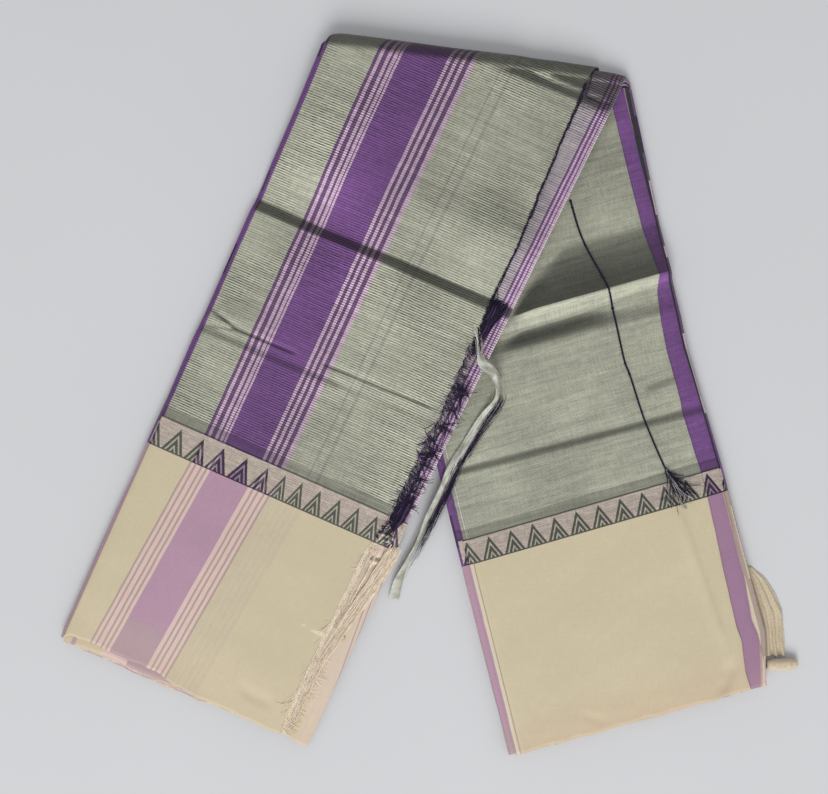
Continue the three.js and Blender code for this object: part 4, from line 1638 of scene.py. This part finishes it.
@dataclass
class HemPly:
    """The end of one more layer, which peeps out below the upper leg's top ply at its hem."""

    name: str
    start: float
    end: float
    reach: float
    depth: float
    seed: int
    finish: PlainWeave
    length: float = 26.0
    rows: int = 12
    columns: int = 90
    sheet: float = 0.5
    end_lengths: Pair = (0.04, 0.06)
    end_inset: float = 4.0
    lowest: float = 0.7

    def build(self) -> Piece:
        """Builds the strip of cloth along the hem."""
        share = np.linspace(self.end, self.start, self.columns)[None, :]
        run = share * STRIP_WIDTH
        stations = UPPER_LEG.stations(np.linspace(UPPER_HEM, UPPER_HEM - self.length, self.rows))
        points, height = UPPER_LEG.top(stations, stations.width[:, None] * share)
        first, last = self.end_lengths
        ends = smoothstep(share, self.start, self.start + first)
        ends = ends * (1 - smoothstep(share, self.end - last, self.end))
        uneven = 0.9 * Wander(self.seed, 16)(run) + 0.5 * Wander(self.seed + 1, 4)(run)
        beyond = (self.reach + uneven) * ends - self.end_inset * (1 - ends)
        near_hem = np.linspace(1, 0, self.rows)[:, None]
        points = points + (beyond * near_hem)[..., None] * stations.down[:, None, :]
        droop = 0.5 * near_hem**2 * (1 + Wander(self.seed + 2, 11)(run))
        laid = lifted(points, np.maximum(height - self.depth - droop, self.lowest))
        cloth = np.stack([share + 0 * near_hem, 0 * share + near_hem * 0.02], axis=-1)
        piece = mesh_piece(self.name, [Patch(laid, cloth, cloth)], [self.finish])
        thicken(piece, self.sheet)
        return piece


def spline(points: Array, count: int) -> Array:
    """A smooth line through some points.

    Args:
        points: The points, one in each row.
        count: How many points the smooth line has.

    Returns:
        The points of the smooth line.
    """
    padded = np.concatenate([2 * points[:1] - points[1:2], points, 2 * points[-1:] - points[-2:-1]])
    place = np.linspace(0, len(points) - 1, count)
    first = np.minimum(place.astype(int), len(points) - 2)
    share = (place - first)[:, None]
    a, b, c, d = (padded[first + offset] for offset in range(4))
    cubic = -a + 3 * b - 3 * c + d
    square = 2 * a - 5 * b + 4 * c - d
    return 0.5 * (2 * b + (c - a) * share + square * share**2 + cubic * share**3)


class Ground:
    """The top of the lower leg, as a height for any place."""

    def __init__(self) -> None:
        """Lays out the points that a height is read from."""
        stations = LOWER_LEG.stations(np.arange(13.0, LOWER_HEM, 3.0))
        inset = stations.width[:, None] * np.linspace(0.05, 0.95, 76)[None, :]
        points, height = LOWER_LEG.top(stations, inset)
        self.points = points.reshape(-1, 2)
        self.height = height.ravel()

    def at(self, points: Array) -> Array:
        """How high the cloth lies at each of some places."""
        gaps = np.linalg.norm(points[:, None, :] - self.points[None, :, :], axis=2)
        return self.height[gaps.argmin(axis=1)]


@dataclass(frozen=True)
class Hank:
    """Loose threads that lie side by side down the edge.

    Each pair of numbers is a range: where they start and end, how far past the cut edge they lie
    at their start and where they have narrowed, and how thick they are.
    """

    start: Pair
    end: Pair
    offset: Pair
    narrow: Pair
    count: int
    radius: Pair = (0.28, 0.5)


@dataclass
class FrayedEdge:
    """The loose warp threads along the cut edge of the upper leg, which lie over the layer below."""

    name: str
    start: float
    end: float
    per_mm: float
    lengths: Pairs
    finish: LooseThread
    slot: str
    node: str
    seed: int
    heading: tuple[float, float, float] = (34.0, 30.0, 24.0)
    radius: Pair = (0.16, 0.34)
    stars: tuple[float, ...] = ()
    star_threads: int = 17
    star_offset: Pair = (3.0, 11.0)
    star_length: Pair = (6.0, 14.5)
    star_radius: Pair = (0.28, 0.55)
    hanks: tuple[Hank, ...] = ()
    cover: float = 1.1
    lift: float = 1.2
    bend: Pairs = (
        *((151.6, 275.5), (149.6, 270.0), (147.9, 263.2), (145.4, 256.6)),
        *((144.2, 251.0), (149.5, 248.4), (157.1, 245.6), (163.6, 244.0)),
    )
    bend_points: int = 46
    rolls: int = 0
    roll: Pair = (16.0, 238.0)
    roll_radius: float = 0.42
    bend_radius: float = 0.4
    step: float = 2.2
    last_travel: float = 594.0
    bending: float = 0.1

    def travel(self, run: Array | float) -> Array:
        """How far down the middle of the leg a distance down its right edge lies."""
        return np.interp(run, [row.right for row in UPPER_ROWS], [row.travel for row in UPPER_ROWS])

    def path(
        self, draw: np.random.Generator, run: float, offset: float, heading: float, length: float
    ) -> Array:
        """The line of one thread, from its root to its tip.

        Args:
            draw: Where its random numbers come from.
            run: How far down the leg's right edge it starts.
            offset: How far past the cut edge it starts.
            heading: Its angle there, 0 across the leg and 90 degrees down it.
            length: Its length.

        Returns:
            The points of the line.
        """
        travel = float(self.travel(run))
        station = UPPER_LEG.stations(np.array([travel]))
        inset = station.width[0] - station.shown[0] + offset
        turned = math.radians(heading)
        steps = max(3, int(length / self.step))
        curl = draw.normal(0, self.bending)
        lift = draw.uniform(0.05, self.lift)
        line = []
        for step in range(steps + 1):
            station = UPPER_LEG.stations(np.array([min(travel, self.last_travel)]))
            ground, height = UPPER_LEG.top(station, np.array([[inset]]))
            past = inset - station.width[0] + station.shown[0]
            beyond = max(0.0, inset - station.width[0])
            sunk = self.cover * float(smoothstep(past, 0.5, 4)) + 0.75 * beyond
            level = float(height[0, 0]) - sunk + lift * math.sin(math.pi * step / steps) + 0.3
            line.append([*ground[0, 0], max(level, 0.3)])
            travel += length / steps * math.sin(turned)
            inset += length / steps * math.cos(turned)
            turned += curl + draw.normal(0, self.bending)
        return np.array(line)

    def hank(self, draw: np.random.Generator, hank: Hank) -> Array:
        """One thread of a hank."""
        start, end = draw.uniform(*hank.start), draw.uniform(*hank.end)
        run = np.linspace(start, end, 12)
        stations = UPPER_LEG.stations(self.travel(run))
        first = draw.uniform(0, 1)
        wide = hank.offset[0] + (hank.offset[1] - hank.offset[0]) * first
        narrow = hank.narrow[0] + (hank.narrow[1] - hank.narrow[0]) * first
        share = smoothstep(run, hank.start[0], hank.end[1])
        wander = Wander(int(draw.integers(1e6)), 9.0)(run) * draw.uniform(0.3, 1.6)
        inset = stations.width - stations.shown + wide + (narrow - wide) * share + wander
        ground, height = UPPER_LEG.top(stations, inset[:, None])
        return lifted(ground[:, 0], height[:, 0] + draw.uniform(-0.9, 0.9) + 0.5 * wander)

    def rolled(self, seed: int) -> Array:
        """One of the long threads that lie rolled up along the cut edge."""
        run = np.arange(self.roll[0], self.roll[1], 0.9)
        stations = UPPER_LEG.stations(self.travel(run))
        stray = 0.8 * Wander(seed, 4.0)(run) + 0.5 * Wander(seed + 5, 19.0)(run)
        inset = stations.width - stations.shown + stray + CUT_EDGE(stations.travel)
        ground, height = UPPER_LEG.top(stations, inset[:, None])
        return lifted(ground[:, 0], height[:, 0] + 0.4 + 0.5 * Wander(seed + 9, 5.0)(run))

    def over_turn(self, seed: int) -> Array:
        """One of the threads of the cut edge where it bends over the turn."""
        route = spline(np.array(self.bend), self.bend_points)
        run = np.arange(self.bend_points) * 1.2
        route = route + 0.5 * np.stack([Wander(seed, 4.0)(run), Wander(seed + 7, 4.0)(run)], axis=1)
        level = UPPER_LEG.topside(route) + THICKNESS - UPPER_LEG.facet(route)
        for crease in UPPER_CREASES:
            level = level + crease.at(route)
        start, end = (np.array(point) for point in TURN.above)
        way = direction(start, end)
        past = np.clip((route - start) @ np.array([-way[1], way[0]]) / TURN.bulge, 0, 0.98)
        return lifted(route, level * (1 + np.sqrt(1 - past**2)) / 2 + 1.5)

    def build(self) -> Piece:
        """Builds all the threads as one piece."""
        draw = np.random.default_rng(self.seed)
        lines, radii = [], []
        places, sizes = zip(*self.lengths)
        middle, swing, spread = self.heading
        for run in draw.uniform(self.start, self.end, int((self.end - self.start) * self.per_mm)):
            length = float(np.interp(run, places, sizes)) * draw.uniform(0.35, 1.25)
            heading = middle + swing * math.sin(run / 10.2) + draw.normal(0, spread)
            lines.append(self.path(draw, float(run), -draw.uniform(0.0, 1.8), heading, length))
            radii.append(draw.uniform(*self.radius))
        for star in self.stars:
            middle_offset = draw.uniform(*self.star_offset)
            for _ in range(self.star_threads):
                run = star + draw.normal(0, 1.2)
                length = draw.uniform(*self.star_length)
                offset = middle_offset + draw.normal(0, 1.0)
                lines.append(self.path(draw, run, offset, draw.uniform(-180, 180), length))
                radii.append(draw.uniform(*self.star_radius))
        for hank in self.hanks:
            for _ in range(hank.count):
                lines.append(self.hank(draw, hank))
                radii.append(draw.uniform(*hank.radius))
        for number in range(self.rolls):
            lines.append(self.rolled(self.seed + 100 + number))
            lines.append(self.over_turn(self.seed + 120 + number))
            radii += [self.roll_radius, self.bend_radius]
        piece = strands(self.name, lines, radii, self.finish, self.seed + 1)
        if self.node:
            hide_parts(self.node)
        return piece


# The route of the header strip: its middle in millimetres, and its roll in degrees.
HEADER_ROUTE = np.array([
    (50.5, 61, 25.4, 20),
    (52.8, 50, 26.2, 60),
    (54.0, 38, 26.0, 80),
    (58, 27.5, 25.8, 10),
    (67, 20.5, 22.5, 15),
    (71, 7.5, 16.8, 50),
    (68.5, -4.5, 15.6, 45),
    (56, -21, 14.4, 10),
    (40.5, -45, 14.2, -12),
    (31, -62, 14.1, 0),
    (23.5, -80, 11.4, 20),
    (12.5, -103, 6.6, 45),
    (2.5, -125, 4.6, 70),
    (-6.5, -142, 4.4, 60),
    (-13.5, -157, 3.4, 25),
    (-17.5, -172, 1.6, 0),
])


@dataclass
class HeaderStrip:
    """The narrow strip of weft that has come off the cut edge."""

    width: float = 7.0
    sheet: float = 0.5
    rows: int = 250
    row_step: float = 1.15
    columns: int = 15
    start: tuple[tuple[float, ...], ...] = ((0, 10, 24, 36), (0.3, 0.7, 0.3, 1.25))

    def build(self) -> Piece:
        """Builds the twisted ribbon."""
        line = spline(HEADER_ROUTE, self.rows)
        path, roll = line[:, :3], np.radians(line[:, 3])[:, None]
        ahead, side, up = axes(path)
        flat = np.cos(roll) * side + np.sin(roll) * up
        thick = np.cross(flat, ahead)
        share = np.linspace(-0.5, 0.5, self.columns)
        run = np.arange(self.rows) * self.row_step
        width = self.width * (0.88 + 0.18 * Wander(71, 21)(run)) * np.interp(run, *self.start)
        wave = 0.5 * Wander(72, 9)(run)[:, None] * np.cos(share * 9)[None, :]
        wave = wave - 2.2 * share[None, :] ** 2
        points = path[:, None, :] + flat[:, None, :] * (width[:, None] * share)[..., None]
        points = points + thick[:, None, :] * wave[..., None]
        across, down = np.broadcast_arrays(share * 0.03, run[:, None] * MM)
        cloth = np.stack([across, down], axis=-1)
        piece = mesh_piece("header_ribbon", [Patch(points, cloth, cloth)], [HEADER_WEAVE])
        thicken(piece, self.sheet)
        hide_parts("header_strip")
        return piece


@dataclass
class ThreadBundle:
    """Loose threads along the header strip, which start and end at random places.

    How far aside they lie and how far they stray from there is in millimetres. Where they start
    and how long they are is in shares of the strip's length.
    """

    name: str
    count: int
    aside: float
    spread: float
    finish: LooseThread
    seed: int
    stretch: Pair
    lengths: Pair
    radius: Pair = (0.1, 0.22)
    lowest: float = 0.5
    path_points: int = 400
    point_step: float = 0.6

    def build(self) -> Piece:
        """Builds the threads."""
        draw = np.random.default_rng(self.seed)
        path = spline(HEADER_ROUTE, self.path_points)[:, :3]
        ahead = np.gradient(path[:, :2], axis=0)
        ahead /= np.linalg.norm(ahead, axis=1, keepdims=True)
        side = np.stack([-ahead[:, 1], ahead[:, 0]], axis=1)
        lines = []
        for _ in range(self.count):
            begin = draw.uniform(*self.stretch)
            end = min(1.0, begin + draw.uniform(*self.lengths))
            places = np.linspace(begin, end, max(5, int((end - begin) * 90)))
            index = (places * (self.path_points - 1)).astype(int)
            run = index * self.point_step
            away = self.aside + draw.normal(0, self.spread)
            wiggle = Wander(int(draw.integers(1e6)), draw.uniform(6, 18))
            offset = away + draw.uniform(0.4, 1.8) * wiggle(run)
            place = path[index].copy()
            place[:, :2] += side[index] * offset[:, None]
            rise = 0.6 * Wander(int(draw.integers(1e6)), 12)(run) + draw.uniform(-0.8, 1.0)
            place[:, 2] = np.maximum(place[:, 2] + rise - 0.08 * abs(away), self.lowest)
            lines.append(place)
        radii = draw.uniform(*self.radius, self.count)
        piece = strands(self.name, lines, radii, self.finish, self.seed + 1)
        return piece


@dataclass
class LowerLegThreads:
    """The parting thread that lies across the lower leg, with its knots, and the tuft it ends in."""

    route: Pairs = (
        *((132.0, 166.7), (143.0, 132.8), (163.3, 92.2), (169.2, 69.4), (177.7, 31.3)),
        *((182.7, 17.8), (194.6, -18.6), (208.5, -52.0), (215.0, -65.0)),
    )
    route_points: int = 290
    route_step: float = 0.9
    plies: int = 3
    ply_radius: float = 0.5
    twist: float = 1.35
    winding: float = 0.55
    knots: tuple[int, ...] = (1, 7, 13, 40, 62, 101, 150, 178, 215)
    knot_loops: int = 4
    loop_radius: float = 0.26
    tuft: tuple[float, float, float] = (214.0, -63.0, 13.3)
    tuft_threads: int = 110
    tuft_steps: int = 9
    tuft_heading: Pair = (-59, 8)
    tuft_length: Pair = (7, 37)
    tuft_radius: Pair = (0.2, 0.36)
    cloth_top: float = 12.4

    def parting_thread(self, ground: Ground) -> Piece:
        """Builds the long thread and the knots at its start."""
        route = spline(np.array(self.route), self.route_points)
        line = lifted(route, ground.at(route) + 0.25)
        run = np.arange(self.route_points) * self.route_step
        lines, radii = [], []
        for number in range(self.plies):
            turn = run * self.twist + number * 2 * math.pi / self.plies
            round_it = np.stack([np.cos(turn), 0 * turn, np.sin(turn) * 0.8], axis=1)
            lines.append(line + round_it * self.winding + [0.0, 0.0, self.ply_radius])
            radii.append(self.ply_radius)
        draw = np.random.default_rng(91)
        for index in self.knots:
            for _ in range(self.knot_loops):
                turn = np.linspace(0, 2 * math.pi * 0.9, 9) + draw.uniform(0, 6)
                size = draw.uniform(0.5, 1.3)
                rise = np.abs(np.sin(turn * 2)) * 0.5
                loop = np.stack([np.cos(turn) * size, np.sin(turn) * size * 0.7, rise], 1)
                lines.append(line[index] + loop)
                radii.append(self.loop_radius)
        piece = strands("parting_thread", lines, radii, DARK_THREADS, 92, tip=0.8)
        return piece

    def thread_tuft(self) -> Piece:
        """Builds the tuft: threads that fan out from a knot."""
        draw = np.random.default_rng(94)
        lines = []
        for _ in range(self.tuft_threads):
            angle = math.radians(draw.normal(*self.tuft_heading))
            move = draw.uniform(*self.tuft_length) / self.tuft_steps
            curl = draw.normal(0, 0.05)
            root = np.array(self.tuft) + [0.0, 0.0, draw.uniform(0, 1.4)]
            place = root + np.append(draw.normal(0, 0.9, 2), 0)
            line = [place]
            for step in range(self.tuft_steps):
                sunk = -0.18 * step / self.tuft_steps
                place = place + np.array([math.cos(angle) * move, math.sin(angle) * move, sunk])
                place[2] = max(place[2], self.cloth_top)
                line.append(place)
                angle += curl + draw.normal(0, 0.15)
            lines.append(np.array(line))
        radii = draw.uniform(*self.tuft_radius, len(lines))
        piece = strands("tuft_threads", lines, radii, TUFT_THREADS, 95)
        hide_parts("thread_tuft")
        return piece


@dataclass
class LooseCorner:
    """The corner of a lower layer that has slid out at the right of the hem, pleated and rolled."""

    rows: tuple[tuple[float, float, float], ...] = (
        *((432, 4, 0.4), (444, 14, 1.5), (457, 18.2, 2.6)),
        *((472, 20, 3.2), (488.5, 17.2, 3.8), (509.7, 18, 4.6)),
    )
    sheet: float = 0.8
    pleats: float = 3.0
    pleat_grid: tuple[int, int] = (66, 61)
    roll_grid: tuple[int, int] = (40, 76)
    roll_sheet: float = 0.45
    roll_size: tuple[tuple[float, ...], ...] = (
        (0, 0.06, 0.3, 0.75, 0.94, 1),
        (0.6, 0.85, 1, 0.96, 0.8, 0.55),
    )
    roll_turn: Pair = (-90, 640)
    roll_reach: float = 5.8
    roll_height: float = 4.5
    roll_start: Pair = (300.9, -228.0)
    roll_end: Pair = (327.0, -227.0)

    def corner(self) -> Piece:
        """Builds the pleated sheet."""
        table = np.array(self.rows)
        run = np.linspace(table[0, 0], table[-1, 0], self.pleat_grid[0])
        reach = np.interp(run, table[:, 0], table[:, 1])
        height = np.interp(run, table[:, 0], table[:, 2])
        root = LOWER_RIGHT.along(run)
        share = np.linspace(1, 0, self.pleat_grid[1])[None, :]
        drift = 0.05 * Wander(81, 19)(run)[:, None]
        wave = (1 - np.cos(2 * np.pi * self.pleats * np.clip(share + drift * share, 0, 1))) / 2
        x = root[:, :1] + 0.1 + reach[:, None] * share
        y = root[:, 1:] + 0 * share + 0.6 * Wander(82, 6)(share * 20)
        z = 0.6 * height[:, None] * wave**1.2 + 1.0 + 0.3 * Wander(83, 5)(run)[:, None] * share
        points = np.stack([x, y, z], axis=2)[::-1]
        down = 0 * share + (run[:, None] - run[0]) * MM
        cloth = np.stack([0.6 + 0.1 * share + 0 * x, down], axis=-1)[::-1]
        piece = mesh_piece("corner_pleats", [Patch(points, cloth, cloth)], [CORNER_WEAVE])
        thicken(piece, self.sheet)
        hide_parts("loose_corner")
        return piece

    def roll(self) -> Piece:
        """Builds the rolled end: a sheet wound up on itself, with its turns showing at its end."""
        start, end = np.array(self.roll_start), np.array(self.roll_end)
        along = direction(start, end)
        out = np.array([-along[1], along[0]])
        place = np.linspace(0, 1, self.roll_grid[0])
        turned = np.linspace(*self.roll_turn, self.roll_grid[1])
        size = np.interp(place, *self.roll_size)
        shrink = np.interp(turned, self.roll_turn, (0.3, 1.0))
        centre = start + (end - start) * place[:, None]
        wobble = 1 + 0.05 * Wander(86, 3)(place * 26)[:, None]
        angle = np.radians(turned)[None, :] + 0.25 * place[:, None]
        reach = self.roll_reach * size[:, None] * shrink[None, :] * np.cos(angle) * wobble
        level = 1 + shrink[None, :] * np.sin(angle) * wobble * 0.98
        level = self.roll_height * size[:, None] * level + 0.1
        points = lifted(centre[:, None, :] + out * reach[..., None], level)
        down = 0.02 + 0 * level + place[:, None] * 0.03
        cloth = np.stack([0.6 + 0 * level + turned / 6000, down], axis=-1)
        piece = mesh_piece("corner_roll", [Patch(points, cloth, cloth)], [CORNER_WEAVE])
        thicken(piece, self.roll_sheet)
        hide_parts("loose_corner_roll")
        return piece


@dataclass(frozen=True)
class Studio:
    """The floor, the lights and the camera."""

    camera_height: float = 1.0
    lens: float = 50.77
    sensor: float = 36.0
    sky: float = 0.56
    sky_colour: tuple[float, ...] = (0.97, 0.975, 1.0, 1)
    key: float = 285.0
    key_size: float = 3.4
    key_place: tuple[float, float, float] = (-0.5, -4.6, 4.0)

    def floor(self) -> None:
        """Lays the plain floor under the saree."""
        bpy.ops.object.select_all(action="DESELECT")
        bpy.ops.mesh.primitive_plane_add(size=8, location=(0, 0, -0.0002))
        floor = bpy.context.active_object
        floor.name = "floor"
        floor.data.materials.append(PaleFloor().material())

    def light(self) -> None:
        """Hangs one soft light that faces the saree."""
        data = bpy.data.lights.new("window", "AREA")
        data.size = self.key_size
        data.energy = self.key
        lamp = bpy.data.objects.new("window", data)
        bpy.context.collection.objects.link(lamp)
        lamp.location = self.key_place
        x, y, z = self.key_place
        lamp.rotation_euler = (math.atan2(float(np.hypot(x, y)), z), 0.0, math.atan2(x, -y))

    def build(self) -> None:
        """Sets up the studio, with the camera straight above as in the photograph."""
        self.floor()
        world = bpy.data.worlds.new("studio")
        bpy.context.scene.world = world
        world.use_nodes = True
        background = world.node_tree.nodes["Background"]
        background.inputs["Color"].default_value = self.sky_colour
        background.inputs["Strength"].default_value = self.sky
        self.light()
        data = bpy.data.cameras.new("camera")
        data.lens = self.lens
        data.sensor_width = self.sensor
        camera = bpy.data.objects.new("camera", data)
        bpy.context.collection.objects.link(camera)
        camera.location = (-CENTRE[0] * MM, -CENTRE[1] * MM, self.camera_height)
        bpy.context.scene.camera = camera
        bpy.context.scene.view_settings.view_transform = "Standard"


STARS = (300.0, 306.0, 318.0, 334.0, 349.0, 360.0, 371.0, 384.0, 397.0, 409.0)
DARK_HANKS = (
    Hank(start=(219, 232), end=(240, 256), offset=(-0.5, 14.5), narrow=(0.5, 7.5), count=170),
    Hank(start=(226, 246), end=(256, 273), offset=(-0.5, 9.0), narrow=(2.0, 5.5), count=90),
    Hank(start=(398, 414), end=(424, 443), offset=(-1.0, 12.0), narrow=(1.0, 9.0), count=130),
)
CREAM_HANKS = (
    Hank(start=(444, 456), end=(552, 590), offset=(14, 25), narrow=(-3, 7), count=120, radius=(0.2, 0.36)),
    Hank(start=(452, 480), end=(500, 530), offset=(-2, 9), narrow=(-2, 6), count=50, radius=(0.15, 0.3)),
    Hank(start=(540, 580), end=(600, 624), offset=(-3, 8), narrow=(-2, 8), count=70, radius=(0.15, 0.3)),
)


def build() -> None:
    """Builds every piece in order, from the layers below up to the loose threads."""
    ground = Ground()
    threads = LowerLegThreads()
    corner = LooseCorner()
    builders = (
        FoldedLayers().build,
        LowerCloth(
            name="lower_second_cloth",
            weave=SECOND_WEAVE,
            left=6.0,
            right=RightEdge.OF_SECOND,
            depth=1.5,
            fold=0.55,
            replaced=("lower_leg_second_field", "lower_leg_second_border"),
            slot="stripe_cloth",
            rests_on="folded_layers",
            columns=70,
        ).build,
        lambda: threads.parting_thread(ground),
        threads.thread_tuft,
        LowerCloth(
            name="lower_top_cloth",
            weave=LOWER_WEAVE,
            left=11.0,
            right=RightEdge.OF_TOP,
            depth=0.0,
            fold=0.6,
            replaced=("lower_leg_field", "lower_leg_temple_band", "lower_leg_border"),
            slot="field_cloth",
            rests_on="lower_second_cloth",
            threads=("parting_thread", "tuft_threads"),
        ).build,
        HemPly("hem_ply_upper", 0.04, 0.55, -0.4, 2.7, 101, HEM_WEAVE).build,
        HemPly("hem_ply_middle", 0.07, 0.66, 1.4, 4.4, 104, HEM_WEAVE_PINK).build,
        HemPly("hem_ply_lower", 0.34, 0.94, 2.4, 5.6, 107, HEM_WEAVE_CREAM).build,
        FrayedEdge(
            name="frayed_edge_dark",
            start=14.0,
            end=444.0,
            per_mm=1.5,
            lengths=((0, 1.8), (205, 2.2), (214, 6), (255, 6), (285, 12), (420, 14), (445, 8)),
            stars=STARS,
            hanks=DARK_HANKS,
            rolls=5,
            finish=DARK_THREADS,
            slot="warp_threads",
            node="frayed_edge_field",
            seed=61,
        ).build,
        FrayedEdge(
            name="frayed_edge_pale",
            start=262.0,
            end=430.0,
            per_mm=1.0,
            lengths=((262, 6), (430, 9)),
            heading=(60.0, 20.0, 60.0),
            radius=(0.12, 0.24),
            finish=LILAC_THREADS,
            slot="warp_threads",
            node="",
            seed=63,
        ).build,
        FrayedEdge(
            name="frayed_edge_cream",
            start=449.0,
            end=626.0,
            per_mm=3.4,
            lengths=((440, 9), (480, 10), (560, 14), (600, 17), (626, 10)),
            heading=(52.0, 24.0, 24.0),
            radius=(0.15, 0.28),
            lift=0.6,
            hanks=CREAM_HANKS,
            finish=CREAM_THREADS,
            slot="cream_threads",
            node="frayed_edge_border",
            seed=64,
        ).build,
        HeaderStrip().build,
        ThreadBundle(
            name="dark_thread_bundle",
            count=230,
            aside=4.2,
            spread=1.7,
            finish=DARK_THREADS,
            seed=74,
            stretch=(0.36, 0.72),
            lengths=(0.05, 0.18),
        ).build,
        ThreadBundle(
            name="pale_thread_bundle",
            count=70,
            aside=0.4,
            spread=2.2,
            finish=PALE_THREADS,
            seed=77,
            stretch=(0.0, 0.85),
            lengths=(0.08, 0.3),
        ).build,
        UpperTopCloth().build,
        corner.corner,
        corner.roll,
    )
    for builder in builders:
        piece = builder()
        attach(piece, BODY)
        LOG.info("%s: %d faces", piece.name, len(piece.data.polygons))
    Studio().build()


def main() -> None:
    """Builds the scene."""
    logging.basicConfig(level=logging.INFO, format="%(message)s")
    build()


if __name__ == "__main__":
    main()
